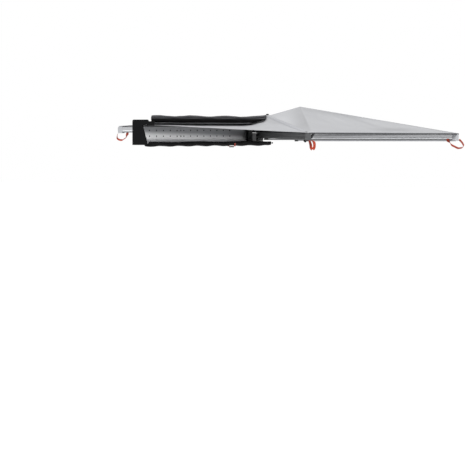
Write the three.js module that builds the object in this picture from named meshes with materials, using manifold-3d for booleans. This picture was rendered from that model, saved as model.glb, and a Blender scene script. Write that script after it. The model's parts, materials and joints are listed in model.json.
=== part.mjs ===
// A self-supporting fan awning for the left side of a vehicle's roof rack, shown fully spread.
// X points to the rear of the vehicle, Y inboard and Z up, all in millimetres. The origin is on the
// back face of the central rack bracket, at the middle of the case.
import * as THREE from "three";
import { mergeVertices } from "three/addons/utils/BufferGeometryUtils.js";
import Module from "manifold-3d";

const wasm = await Module();
wasm.setup();

// Clearances
const fit = 0.3; // between pieces that rest on each other
const runningGap = 0.5; // between pieces that turn or slide on each other
const overrun = 5; // how far a cutter runs past the face it cuts

// Case
const caseLength = 1880;
const caseDepth = 160; // back plate's back to the outboard lip
const plateThickness = 2.5;
const plateTop = 63;
const troughBend = 38; // outer radius of the bend between the wall and the shelf
const shelfTop = -75; // upper face of the trough's shelf
const shelfInset = 16; // the shelf's edge, inboard of the case's outboard face
const plateFrontInset = 15; // the end wall's thickness
const plateRearInset = 190; // where the hub's spine takes over from the back plate

// Fixing holes in the back plate
const holeDiameter = 9;
const holePitch = 100;
const holesAhead = 9; // holes forward of the middle in each row
const holesBehind = 5;
const holeRowUpper = 33;
const holeRowSpacing = 49;
const extraHoleX = -245;
const holeSides = 8;

// Rails
const railHeight = 27;
const railDepth = 20;
const railGroove = 6;
const railMouth = 2.4;
const lipRailWidth = 15;
const lipRailHeight = 10;

// Rack brackets
const bracketThickness = 6;
const bracketWidth = 70;
const bracketHeight = 110;
const bracketFoot = 60; // how far the foot reaches inboard
const bracketSpacing = [-600, 0, 500];
const bracketFootSlot = 11;
const bracketFootSlotLength = 30;
const boltDiameter = 8;
const boltHeadHeight = 3;
const boltHeadDiameter = 14;
const boltEndBelow = 0.5; // under the bracket's back face

// Front end wall
const endWallTop = 123;
const endWallBottom = -88;
const endWallOverhang = 62; // the ear's reach rearward, in front of the flap's end
const endWallEar = 36; // the ear's height
const earThickness = 8;
const earProud = 14; // the ear's outer face, outboard of the case
const endWallNeck = 60; // how far inboard the opening's upper corner stands
const endWallLobe = 32; // depth of the lobe above the opening
const endWallCorner = 14;

// Hub
const hubFromRear = 80;
const hubInset = 80; // hub axis, inboard of the case's outboard face
const pinDiameter = 24;
const pinHeadDiameter = 38;
const pinHeadHeight = 9;
const hubPlateThickness = 6;
const hubTopZ = 80; // underside of the top plate
const hubBottomZ = -64; // upper face of the bottom plate
const spineLength = 58;
const spineDepth = 36;
const spineWall = 5;
const spineFromHub = 50; // the spine's rear face, forward of the hub axis
const webTop = 0; // the low web's upper edge, under the upper arms
const webTallReach = 22; // how far the web keeps its full height behind the spine
const washerDiameter = 62;
const washerThickness = 2;

// Apex post and knobs
const apexFromRear = 30;
const apexInset = 30;
const apexZ = 166; // top of the post's cap
const postDiameter = 30;
const postCapDiameter = 54;
const postCapHeight = 6;
const postFlangeDiameter = 52;
const knobDiameter = 15;
const knobHeight = 9;
const knobSpacing = 18;

// Arms: angles are counted from the closed place, forward along the case, outboard and rearward
const armReach = 1760;
const armAngles = [47.3, 118.5, 190, 261];
const beamWidth = 30;
const beamHeight = 52;
const beamWall = 3.5;
const beamSlot = 16; // depth of the slot under the beam
const lane = 20; // the beam's centre line, beside the hub axis
const levelStep = 66; // the upper pair of arms lies this much higher
const beamLifts = [19, 0, 10, 0]; // of each beam on its knuckle
const beamDroops = [11, 0, 0, 0]; // how far each beam's tip hangs down
const beamStart = 78;
const legArm = 1; // counted from 0
const capLength = 57;
const capWidth = 34;
const capAbove = 4;
const capBelow = 6;
const capCorner = 14;
const capEndWall = 12;
const knuckleRadius = 33;
const ledgeHeight = 12; // the sloped rivet ledge along the beam's side
const ledgeProud = 1.8;
const grooveHeight = 12; // the groove under the ledge
const grooveDepth = 1.5;

// Leg under the second arm
const legTube = 20;
const legTubeWall = 1.6;
const legInnerTube = 16;
const legStart = 341; // the stowed leg's foot starts here, from the hub axis
const legCentreBelow = 1; // the tube's centre line, below the beam's bottom
const legPinFromTip = 32;
const legPinDiameter = 6;
const legPinAbove = 5; // the pin's centre, above the beam's bottom
const legInnerShows = 60; // the inner tube's length outside the collar
const legInnerHidden = 420;
const legFootLength = 31;
const legFootDiameter = 22;
const legCollarDiameter = 22;
const legCollarLength = 50;
const legStub = 10; // the tube's length beyond the pin
const clipReach = 1180; // the stowing clip's place, from the hub axis
const clipLength = 26;

// Boom that lifts the cloth to its peak, on a collar that turns on the apex post
const peakReach = 360; // from the hub axis, over the second arm
const peakZ = 243;
const boomTube = 18;
const boomCollarDiameter = 48;
const boomCollarHeight = 26;
const boomCollarBelowCap = 14;
const boomSocketDiameter = 26;
const boomSocketLength = 62;
const boomSocketDepth = 30; // the tube's length inside the socket
const boomHeadDiameter = 44;
const boomHeadHeight = 12;

// Canopy
const canopyThickness = 1.6;
const canopyRailRearInset = 220;
const canopyRailFrontInset = 46;
const canopySeam = 0.8; // between neighbouring panels
const canopySag = 14;
const canopyHemPull = 28; // how far a free edge curves in
const canopySteps = 8;
const clothGap = 0.8; // over an end cap
const eavesFromRear = 140; // where the cloth folds down beside the hub
const eavesOut = 9; // outboard of the case
const eavesZ = 108;
const apexRing = 24; // the cloth's corner, from the post's axis

// Cover flaps
const flapFrontInset = 48;
const upperFlapRearInset = 84;
const upperFlapTop = 158;
const upperFlapBottom = 99;
const upperFlapWave = 4;
const upperFlapWaves = 5;
const upperFlapTail = 215; // over this length it tapers to the apex
const upperFlapTailTop = 165;
const upperFlapTailBottom = 160;
const upperFlapSheet = 7; // thickness of its flat part at the rail
const lowerFlapRearInset = 18;
const lowerFlapTop = -66;
const lowerFlapBottom = -99;
const lowerFlapWave = 3.5;
const lowerFlapWaves = 7;
const lowerFlapProud = 10; // outboard of the case
const flapRoll = 54;
const flapSections = 44;

// Webbing
const webbingWidth = 25;
const webbingThickness = 1.6;
const loopStart = 110; // from the arm's tip, inward
const loopReach = 155;
const loopDrop = 72;
const loopAside = 36; // its lowest point, beside the beam's centre line
const strapWidth = 20;
const buckleWidth = 26;
const buckleThickness = 9;
const buckleDrop = 22;
const buckleFromTip = 125;
const cinchFromRear = 613;
const cinchBuckleLength = 34;
const cinchBuckleThickness = 8;

// Zip slider
const zipStemDiameter = 5;
const zipStemLength = 22;
const zipBallDiameter = 13;
const zipBelowTop = 8;

// Worked out from the values above
const frontX = -caseLength / 2;
const rearX = caseLength / 2;
const plateBackY = -bracketThickness - fit;
const outboardY = plateBackY - caseDepth;
const plateFrontX = frontX + plateFrontInset + fit;
const plateRearX = rearX - plateRearInset;
const shelfBottom = shelfTop - plateThickness;
const shelfEdgeY = outboardY + shelfInset;
const hubX = rearX - hubFromRear;
const hubY = outboardY + hubInset;
const apexX = rearX - apexFromRear;
const apexY = outboardY + apexInset;
const cinchX = rearX - cinchFromRear;
const capStart = armReach - capLength;
const holeRows = [holeRowUpper, holeRowUpper - holeRowSpacing];
const levels = [0, 0, levelStep, levelStep];
const lanes = [-lane, lane, -lane, lane];

// Finishes
const finish = (color, roughness, metalness) => ({ color, roughness, metalness });
const silver = finish(0xb9bbc0, 0.35, 0.9);
const darkMetal = finish(0x3c3e42, 0.45, 0.7);
const greyMetal = finish(0x8f9196, 0.4, 0.8);
const steel = finish(0xa8aab0, 0.3, 1);
const blackPlastic = finish(0x17181a, 0.55, 0);
const greyPlastic = finish(0xb4b6bb, 0.5, 0);
const nylon = finish(0xdcdcd6, 0.6, 0);
const rubber = finish(0x101113, 0.85, 0);
const canopyCloth = finish(0xc8c9cd, 0.9, 0);
const coverCloth = finish(0x161719, 0.8, 0);
const orangeWebbing = finish(0xe0501e, 0.85, 0);
const blackWebbing = finish(0x1a1b1d, 0.85, 0);

const awning = new THREE.Group();

// Solids

// A closed mesh as a solid that can be joined and cut.
function solidOf(geometry) {
  const bare = geometry.clone();
  bare.deleteAttribute("normal");
  bare.deleteAttribute("uv");
  const merged = mergeVertices(bare);
  return new wasm.Manifold(
    new wasm.Mesh({
      numProp: 3,
      vertProperties: merged.attributes.position.array,
      triVerts: new Uint32Array(merged.index.array),
    }),
  );
}

// A solid back as a mesh's geometry, with its faces flat.
function geometryOf(solid) {
  const mesh = solid.getMesh();
  const geometry = new THREE.BufferGeometry();
  geometry.setAttribute("position", new THREE.BufferAttribute(mesh.vertProperties, 3));
  geometry.setIndex(new THREE.BufferAttribute(mesh.triVerts, 1));
  const flat = geometry.toNonIndexed();
  flat.computeVertexNormals();
  return flat;
}

const joined = (first, ...others) => others.reduce((all, next) => all.add(next), first);
const cut = (first, ...others) => others.reduce((all, next) => all.subtract(next), first);

// A box between two corners.
function box(low, high) {
  const size = high.map((value, i) => value - low[i]);
  const middle = high.map((value, i) => (value + low[i]) / 2);
  return solidOf(new THREE.BoxGeometry(...size).translate(...middle));
}

// A cylinder between two points.
function rod(from, to, diameter, sides, endDiameter = diameter) {
  const start = new THREE.Vector3(...from);
  const along = new THREE.Vector3(...to).sub(start);
  const geometry = new THREE.CylinderGeometry(
    endDiameter / 2,
    diameter / 2,
    along.length(),
    sides,
  );
  const up = new THREE.Vector3(0, 1, 0);
  const turn = new THREE.Quaternion().setFromUnitVectors(up, along.clone().normalize());
  geometry.applyQuaternion(turn);
  const middle = start.add(along.multiplyScalar(1 / 2));
  return solidOf(geometry.translate(middle.x, middle.y, middle.z));
}

// A flat outline in Y and Z, run along X.
function alongX(outline, fromX, toX) {
  const shape = new THREE.Shape(outline.map(([y, z]) => new THREE.Vector2(y, z)));
  const geometry = new THREE.ExtrudeGeometry(shape, {
    depth: toX - fromX,
    bevelEnabled: false,
  });
  const turn = new THREE.Matrix4().makeBasis(
    new THREE.Vector3(0, 1, 0),
    new THREE.Vector3(0, 0, 1),
    new THREE.Vector3(1, 0, 0),
  );
  geometry.applyMatrix4(turn);
  return solidOf(geometry.translate(fromX, 0, 0));
}

// A flat outline in X and Y, run up Z.
function upZ(shape, fromZ, toZ, curveSteps) {
  const geometry = new THREE.ExtrudeGeometry(shape, {
    depth: toZ - fromZ,
    bevelEnabled: false,
    curveSegments: curveSteps,
  });
  return solidOf(geometry.translate(0, 0, fromZ));
}

// A flat outline in X and Z, run along Y.
function alongY(outline, fromY, toY) {
  const shape = new THREE.Shape(outline.map(([x, z]) => new THREE.Vector2(x, z)));
  const geometry = new THREE.ExtrudeGeometry(shape, {
    depth: toY - fromY,
    bevelEnabled: false,
  });
  geometry.rotateX(Math.PI / 2);
  return solidOf(geometry.translate(0, toY, 0));
}

// Points of an arc, both ends included.
function arc(centreA, centreB, radius, fromDegrees, toDegrees, steps) {
  return Array.from({ length: steps + 1 }, (_, i) => {
    const degrees = fromDegrees + ((toDegrees - fromDegrees) * i) / steps;
    const angle = THREE.MathUtils.degToRad(degrees);
    return [centreA + radius * Math.cos(angle), centreB + radius * Math.sin(angle)];
  });
}

// A mesh of its own for one piece.
function piece(name, solid, look, parent = awning) {
  const geometry = solid.isBufferGeometry ? solid : geometryOf(solid);
  const mesh = new THREE.Mesh(geometry, new THREE.MeshStandardMaterial(look));
  mesh.name = name;
  parent.add(mesh);
  return mesh;
}

// Sheets and sweeps

// The triangles that fill a flat ring of points, found with its least telling axis left out.
function capFaces(ring) {
  const normal = new THREE.Vector3();
  ring.forEach((point, i) => {
    const next = new THREE.Vector3(...ring[(i + 1) % ring.length]);
    normal.add(new THREE.Vector3(...point).cross(next));
  });
  const sizes = normal.toArray().map(Math.abs);
  const left = sizes.indexOf(Math.max(...sizes));
  const contour = ring.map((point) => new THREE.Vector2(...point.filter((_, k) => k !== left)));
  const facing = THREE.ShapeUtils.area(contour) > 0;
  return THREE.ShapeUtils.triangulateShape(contour, []).map(([i, j, k]) => {
    const same = THREE.ShapeUtils.area([contour[i], contour[j], contour[k]]) > 0 === facing;
    return same ? [i, j, k] : [i, k, j];
  });
}

// Every ring of points is joined to the next, and the two ends are capped.
function loft(rings) {
  const count = rings[0].length;
  const points = rings.flat();
  const faces = [];
  for (let i = 0; i + 1 < rings.length; i++) {
    for (let j = 0; j < count; j++) {
      const a = i * count + j;
      const b = i * count + ((j + 1) % count);
      faces.push(a, b, b + count, a, b + count, a + count);
    }
  }
  const last = (rings.length - 1) * count;
  for (const [i, j, k] of capFaces(rings[0])) faces.push(i, k, j);
  for (const [i, j, k] of capFaces(rings.at(-1))) faces.push(last + i, last + j, last + k);
  return closedGeometry(points, faces);
}

// A geometry from points and faces, turned right side out.
function closedGeometry(points, faces) {
  const geometry = new THREE.BufferGeometry();
  const flat = new Float32Array(points.flat());
  let volume = 0;
  for (let i = 0; i < faces.length; i += 3) {
    const [a, b, c] = [0, 1, 2].map((k) => new THREE.Vector3(...points[faces[i + k]]));
    volume += a.dot(b.cross(c));
  }
  const order = volume > 0 ? faces : faces.slice().reverse();
  geometry.setAttribute("position", new THREE.BufferAttribute(flat, 3));
  geometry.setIndex(order);
  const separate = geometry.toNonIndexed();
  separate.computeVertexNormals();
  return separate;
}

// A strip of webbing: a flat section carried along a path. Each point may turn its width to an axis
// of its own.
function webbing(path, axes, width, thickness) {
  const rings = path.map((point, i) => {
    const before = new THREE.Vector3(...path[Math.max(i - 1, 0)]);
    const after = new THREE.Vector3(...path[Math.min(i + 1, path.length - 1)]);
    const along = after.sub(before).normalize();
    const wide = new THREE.Vector3(...(axes[i] ?? axes[0])).normalize();
    const thick = new THREE.Vector3().crossVectors(wide, along).normalize();
    const across = new THREE.Vector3().crossVectors(along, thick).normalize();
    const at = new THREE.Vector3(...point);
    const sides = [
      [-1, -1],
      [1, -1],
      [1, 1],
      [-1, 1],
    ];
    return sides.map(([w, t]) =>
      at
        .clone()
        .addScaledVector(across, (w * width) / 2)
        .addScaledVector(thick, (t * thickness) / 2)
        .toArray(),
    );
  });
  return loft(rings);
}

// A smooth path of a given number of steps through a few points.
function smoothPath(points, steps) {
  const curve = new THREE.CatmullRomCurve3(points.map((p) => new THREE.Vector3(...p)));
  return curve.getPoints(steps).map((p) => p.toArray());
}

// A four-cornered patch of cloth as rows of points. It sags in its middle, and its last row, where it
// is a free edge, is pulled in by a given vector.
function patch([a, b, c, d], sag, pull = [0, 0, 0]) {
  const corner = [a, b, c, d].map((p) => new THREE.Vector3(...p));
  const inward = new THREE.Vector3(...pull);
  const rows = [];
  for (let i = 0; i <= canopySteps; i++) {
    const v = i / canopySteps;
    const left = corner[0].clone().lerp(corner[3], v);
    const right = corner[1].clone().lerp(corner[2], v);
    const row = [];
    for (let j = 0; j <= canopySteps; j++) {
      const u = j / canopySteps;
      const point = left.clone().lerp(right, u);
      const hollow = Math.sin(Math.PI * u);
      point.addScaledVector(inward, hollow * v * v);
      point.z -= sag * hollow * Math.sin(Math.PI * v);
      row.push(point.toArray());
    }
    rows.push(row);
  }
  return rows;
}

// Patches that share edges, joined into one closed sheet of even thickness.
function sheet(patches, thickness) {
  const points = [];
  const known = new Map();
  const faces = [];
  const keyShare = 100;
  const index = (point) => {
    const key = point.map((value) => Math.round(value * keyShare)).join();
    if (!known.has(key)) {
      known.set(key, points.length);
      points.push(point);
    }
    return known.get(key);
  };
  const add = (...corners) => {
    if (new Set(corners).size === 3) faces.push(corners);
  };
  for (const rows of patches) {
    for (let i = 0; i + 1 < rows.length; i++) {
      for (let j = 0; j + 1 < rows[i].length; j++) {
        const a = index(rows[i][j]);
        const b = index(rows[i][j + 1]);
        const c = index(rows[i + 1][j + 1]);
        const d = index(rows[i + 1][j]);
        add(a, b, c);
        add(a, c, d);
      }
    }
  }
  const open = new Map();
  for (const [a, b, c] of faces) {
    for (const [p, q] of [
      [a, b],
      [b, c],
      [c, a],
    ]) {
      if (open.has(`${q},${p}`)) open.delete(`${q},${p}`);
      else open.set(`${p},${q}`, [p, q]);
    }
  }
  const count = points.length;
  const lower = points.map(([x, y, z]) => [x, y, z - thickness]);
  const all = faces.flat();
  for (const [a, b, c] of faces) all.push(a + count, c + count, b + count);
  for (const [p, q] of open.values()) {
    all.push(p, p + count, q + count, p, q + count, q);
  }
  return closedGeometry([...points, ...lower], all);
}

// Case

// The trough: a wall with two rows of holes, bent outboard into a shelf that ends in a lip rail.
function backPlate() {
  const backBend = [plateBackY - troughBend, shelfBottom + troughBend];
  const innerBend = troughBend - plateThickness;
  const steps = 6;
  const outline = [
    [plateBackY, plateTop],
    ...arc(...backBend, troughBend, 0, -90, steps),
    [shelfEdgeY - lipRailWidth, shelfBottom],
    [shelfEdgeY - lipRailWidth, shelfBottom + lipRailHeight],
    [shelfEdgeY, shelfBottom + lipRailHeight],
    [shelfEdgeY, shelfTop],
    ...arc(...backBend, innerBend, -90, 0, steps),
    [plateBackY - plateThickness, plateTop],
  ];
  const plate = alongX(outline, plateFrontX, plateRearX);
  const places = [extraHoleX];
  for (let i = -holesAhead; i <= holesBehind; i++) places.push(i * holePitch);
  const holes = places.flatMap((x) =>
    holeRows.map((z) =>
      rod(
        [x, plateBackY + overrun, z],
        [x, plateBackY - plateThickness - overrun, z],
        holeDiameter,
        holeSides,
      ),
    ),
  );
  return cut(plate, ...holes);
}
piece("back_plate", backPlate(), silver);

// A rail with a round keder groove behind a narrow mouth.
function topRail() {
  const bottom = plateTop + fit;
  const top = bottom + railHeight;
  const back = plateBackY;
  const front = plateBackY - railDepth;
  const steps = 6;
  const grooveZ = top - railGroove;
  const outline = [
    [back, bottom],
    [back, top],
    [front, top],
    [front, grooveZ + railMouth / 2],
    [front + railGroove / 2, grooveZ + railMouth / 2],
    ...arc(front + railGroove, grooveZ, railGroove / 2, 157.5, -157.5, steps),
    [front + railGroove / 2, grooveZ - railMouth / 2],
    [front, grooveZ - railMouth / 2],
    [front, bottom],
  ];
  return alongX(outline.reverse(), plateFrontX, plateRearX);
}
piece("top_rail", topRail(), darkMetal);

// The end wall closes the case's front. Above the opening an ear stands out from it and reaches
// rearward in front of the flap's end.
function frontEndWall() {
  const steps = 4;
  const inner = plateBackY - endWallCorner;
  const outline = [
    [plateBackY, endWallBottom],
    ...arc(inner, endWallTop - endWallCorner, endWallCorner, 0, 90, steps),
    ...arc(outboardY + endWallCorner, endWallTop - endWallCorner, endWallCorner, 90, 180, steps),
    [outboardY, endWallTop - endWallLobe],
    [outboardY + endWallNeck, endWallTop - endWallLobe - endWallCorner],
    [outboardY + endWallCorner, shelfTop],
    [outboardY, endWallBottom],
  ];
  const wall = alongX(outline, frontX, frontX + plateFrontInset);
  const earTop = endWallTop - endWallCorner;
  const ear = box(
    [frontX, outboardY - earProud, earTop - endWallEar],
    [frontX + plateFrontInset + endWallOverhang, outboardY - earProud + earThickness, earTop],
  );
  const neck = box(
    [frontX, outboardY - earProud, earTop - endWallEar],
    [frontX + plateFrontInset, outboardY + endWallCorner, earTop],
  );
  return joined(wall, ear, neck);
}
piece("front_end_wall", frontEndWall(), blackPlastic);

// Rack brackets. Two low-headed bolts are screwed into each from inside the case.
const bracketNames = ["front", "centre", "rear"];
const rowNames = ["upper", "lower"];
const bracketTop = holeRows[0] + bracketHeight / 4;
bracketSpacing.forEach((x, i) => {
  const wall = box(
    [x - bracketWidth / 2, -bracketThickness, bracketTop - bracketHeight],
    [x + bracketWidth / 2, 0, bracketTop],
  );
  const foot = box(
    [x - bracketWidth / 2, -bracketThickness, bracketTop - bracketHeight],
    [x + bracketWidth / 2, bracketFoot, bracketTop - bracketHeight + bracketThickness],
  );
  const boltHoles = holeRows.map((z) =>
    rod([x, overrun, z], [x, -bracketThickness - overrun, z], holeDiameter, holeSides),
  );
  const slot = box(
    [
      x - bracketFootSlotLength / 2,
      (bracketFoot - bracketFootSlot) / 2,
      bracketTop - bracketHeight - overrun,
    ],
    [
      x + bracketFootSlotLength / 2,
      (bracketFoot + bracketFootSlot) / 2,
      bracketTop - bracketHeight + bracketThickness + overrun,
    ],
  );
  piece(`rack_bracket_${bracketNames[i]}`, cut(joined(wall, foot), ...boltHoles, slot), darkMetal);

  const headFace = plateBackY - plateThickness - fit;
  holeRows.forEach((z, row) => {
    const shank = rod([x, headFace, z], [x, -boltEndBelow, z], boltDiameter, holeSides);
    const head = rod(
      [x, headFace - boltHeadHeight, z],
      [x, headFace, z],
      boltHeadDiameter - boltHeadHeight,
      holeSides * 2,
      boltHeadDiameter,
    );
    piece(`bracket_bolt_${bracketNames[i]}_${rowNames[row]}`, joined(shank, head), steel);
  });
});

// Hub

const hubOnTop = hubTopZ + hubPlateThickness;
const spineRearX = hubX - spineFromHub;
const spineFrontX = spineRearX - spineLength;

// A plate with a round nose round the pin, run back to the spine and out to the apex post.
function hubPlate(bottom, reachX, reachY, backY) {
  const shape = new THREE.Shape();
  shape.moveTo(spineFrontX, plateBackY);
  shape.lineTo(spineFrontX, hubY);
  shape.lineTo(hubX - knuckleRadius, reachY);
  shape.lineTo(reachX, reachY);
  shape.lineTo(reachX, hubY + knuckleRadius);
  shape.lineTo(hubX + knuckleRadius, backY);
  shape.lineTo(spineRearX, plateBackY);
  const plate = upZ(shape, bottom, bottom + hubPlateThickness, 1);
  const hole = rod(
    [hubX, hubY, bottom - overrun],
    [hubX, hubY, bottom + hubPlateThickness + overrun],
    pinDiameter + runningGap,
    24,
  );
  return cut(plate, hole);
}
piece(
  "hub_bottom_plate",
  hubPlate(
    hubBottomZ - hubPlateThickness,
    hubX + knuckleRadius,
    hubY - knuckleRadius,
    plateBackY,
  ),
  darkMetal,
);
piece(
  "hub_top_plate",
  hubPlate(hubTopZ, apexX + postFlangeDiameter / 2, outboardY, hubY + knuckleRadius + overrun),
  darkMetal,
);

// The spine: a channel open to the front, between the two plates. A web runs on from it behind the
// hub, low where the fourth arm passes over it.
function hubSpine() {
  const low = hubBottomZ + fit;
  const high = hubTopZ - fit;
  const outer = box(
    [spineFrontX, plateBackY - spineDepth, low],
    [spineRearX, plateBackY, high],
  );
  const hollow = box(
    [spineFrontX - overrun, plateBackY - spineDepth + spineWall, low - overrun],
    [spineRearX - spineWall, plateBackY - spineWall, high + overrun],
  );
  const tallWeb = box(
    [spineRearX - spineWall, plateBackY - spineWall, low],
    [spineRearX + webTallReach, plateBackY, high],
  );
  const lowWeb = box(
    [spineRearX, plateBackY - spineWall, low],
    [hubX + knuckleRadius, plateBackY, webTop],
  );
  return joined(cut(outer, hollow), tallWeb, lowWeb);
}
piece("hub_spine", hubSpine(), darkMetal);

function hubPin() {
  const low = hubBottomZ - hubPlateThickness - fit;
  const high = hubOnTop + fit;
  const shank = rod([hubX, hubY, low - overrun], [hubX, hubY, high + overrun], pinDiameter, 24);
  const head = rod([hubX, hubY, high], [hubX, hubY, high + pinHeadHeight], pinHeadDiameter, 6);
  const foot = rod([hubX, hubY, low - pinHeadHeight], [hubX, hubY, low], pinHeadDiameter, 6);
  return joined(shank, head, foot);
}
piece("hub_pin", hubPin(), steel);

// The knuckles share the pin. Each fills half of its level's height, with a washer under it.
const knuckleHeight = (beamHeight - washerThickness) / 2 - runningGap;
const knuckleBases = levels.map(
  (level, i) => level - beamHeight + (i % 2) * (knuckleHeight + washerThickness + runningGap * 2),
);

function washer(low, high) {
  const disc = rod([hubX, hubY, low], [hubX, hubY, high], washerDiameter, 24);
  const hole = rod(
    [hubX, hubY, low - overrun],
    [hubX, hubY, high + overrun],
    pinDiameter + runningGap,
    24,
  );
  return cut(disc, hole);
}
const knuckleTops = knuckleBases.map((base) => base + knuckleHeight);
const washerSpans = [
  [hubBottomZ, knuckleBases[0]],
  [knuckleTops[0], knuckleBases[1]],
  [knuckleTops[1], knuckleBases[2]],
  [knuckleTops[2], knuckleBases[3]],
  [knuckleTops[3], hubTopZ],
];
washerSpans.forEach(([low, high], i) => {
  piece(`hub_washer_${i + 1}`, washer(low + fit, high - fit), nylon);
});

// The post that holds up the cloth's inner corner, with its cap, and two knobs that clamp the cloth.
function apexPost() {
  const foot = hubOnTop + fit;
  const flange = rod(
    [apexX, apexY, foot],
    [apexX, apexY, foot + postCapHeight],
    postFlangeDiameter,
    16,
  );
  const tube = rod([apexX, apexY, foot], [apexX, apexY, apexZ - postCapHeight / 2], postDiameter, 16);
  const cap = rod(
    [apexX, apexY, apexZ - postCapHeight],
    [apexX, apexY, apexZ],
    postCapDiameter,
    16,
    postDiameter,
  );
  return joined(flange, tube, cap);
}
piece("apex_post", apexPost(), darkMetal);

["front", "rear"].forEach((end, i) => {
  const x = apexX + (i - 1 / 2) * knobSpacing;
  const stem = rod(
    [x, apexY, apexZ + fit],
    [x, apexY, apexZ + knobHeight],
    knobDiameter / 2,
    10,
  );
  const grip = rod(
    [x, apexY, apexZ + knobHeight / 2],
    [x, apexY, apexZ + knobHeight + knobHeight / 2],
    knobDiameter,
    10,
  );
  piece(`anchor_knob_${end}`, joined(stem, grip), blackPlastic);
});

// Arms

// Each arm has two groups turned about the hub's axis, one for its knuckle and one for its beam, which
// is lifted and hangs down a little. Their X runs out along the arm, and their Y points to the side
// that it trails when it opens.
function armGroup(i, lift, droop) {
  const group = new THREE.Group();
  group.position.set(hubX, hubY, levels[i] + lift);
  group.rotation.order = "ZYX";
  group.rotation.z = THREE.MathUtils.degToRad(armAngles[i]) + Math.PI;
  group.rotation.y = Math.atan(droop / armReach);
  awning.add(group);
  return group;
}
const knuckleGroups = armAngles.map((_, i) => armGroup(i, 0, 0));
const armGroups = armAngles.map((_, i) => armGroup(i, beamLifts[i], beamDroops[i]));

// A place on an arm, in the part's own frame.
function onArm(i, along, aside, up) {
  const group = armGroups[i];
  group.updateMatrixWorld(true);
  return new THREE.Vector3(along, aside, up).applyMatrix4(group.matrixWorld).toArray();
}

// The beam: a hollow box section over a slot for the leg. On each side a sloped rivet ledge stands
// over a shallow groove.
function beam(side) {
  const ledgeBottom = -beamHeight + grooveHeight;
  const slotTop = -beamHeight + beamSlot;
  const inner = beamWidth / 2 - beamWall;
  const flank = [
    [-inner, slotTop],
    [-inner, -beamHeight],
    [grooveDepth - beamWidth / 2, -beamHeight],
    [grooveDepth - beamWidth / 2, ledgeBottom],
    [-ledgeProud - beamWidth / 2, ledgeBottom],
    [-beamWidth / 2, ledgeBottom + ledgeHeight],
    [-beamWidth / 2, 0],
  ];
  const other = flank.map(([aside, up]) => [-aside, up]).reverse();
  const outline = [...other, ...flank].map(([aside, up]) => [side + aside, up]);
  const hollow = box(
    [beamStart - overrun, side - inner, slotTop + beamWall],
    [capStart + overrun, side + inner, -beamWall],
  );
  return cut(alongX(outline, beamStart, capStart - fit), hollow);
}

// The knuckle: a ring round the pin and a neck that holds the beam's end between two cheeks.
function knuckle(i) {
  const base = knuckleBases[i] - levels[i];
  const side = lanes[i];
  const half = beamWidth / 2;
  const sides = 24;
  const ring = rod([0, 0, base], [0, 0, base + knuckleHeight], knuckleRadius * 2, sides);
  const nearSide = Math.sign(side) * (lane - half);
  const farSide = Math.sign(side) * (lane + half);
  const lowSide = Math.min(nearSide, farSide);
  const highSide = Math.max(nearSide, farSide);
  const lift = beamLifts[i];
  const end = beamStart - 2 * fit;
  const low = Math.min(base, lift - beamHeight);
  const clear = levelStep - beamHeight - runningGap;
  const high = Math.max(base + knuckleHeight, Math.min(lift, clear));
  const neck = box([0, lowSide, base], [end, highSide, base + knuckleHeight]);
  const shoe = box([knuckleRadius + overrun, lowSide, low], [end, highSide, high]);
  const bore = rod(
    [0, 0, base - overrun],
    [0, 0, base + knuckleHeight + overrun],
    pinDiameter + runningGap,
    sides,
  );
  return cut(joined(ring, neck, shoe), bore);
}

// The end cap: rounded at its upper outer corner, with a slot below for the leg's hinged end.
function endCap(side, pinned) {
  const top = capAbove;
  const bottom = -beamHeight - capBelow;
  const outline = [
    [capStart, bottom],
    [armReach, bottom],
    ...arc(armReach - capCorner, top - capCorner, capCorner, 0, 90, 5),
    [capStart, top],
  ];
  const block = alongY(outline, side - capWidth / 2, side + capWidth / 2);
  const inner = beamWidth / 2 - beamWall;
  const slot = box(
    [capStart - overrun, side - inner, bottom - overrun],
    [armReach - capEndWall, side + inner, -beamHeight + beamSlot],
  );
  if (!pinned) return cut(block, slot);
  const pinX = armReach - legPinFromTip;
  const pinZ = -beamHeight + legPinAbove;
  const bore = rod(
    [pinX, side - capWidth, pinZ],
    [pinX, side + capWidth, pinZ],
    legPinDiameter + runningGap,
    12,
  );
  return cut(block, slot, bore);
}

// A webbing loop. Its first part lies flat on the beam's side and its second part turns as it hangs.
// Its last part runs in one plane, down and back up to the cap. Each share is a place along the loop's
// reach, beside the beam and down the loop's drop.
const loopFlatShares = [
  [0.1, 0, -0.17],
  [0.1, 0, 0.06],
];
const loopPlaneShares = [
  [0.32, 1, 0.62],
  [0.66, 1, 0.98],
  [0.735, 0, -0.06],
];
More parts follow.
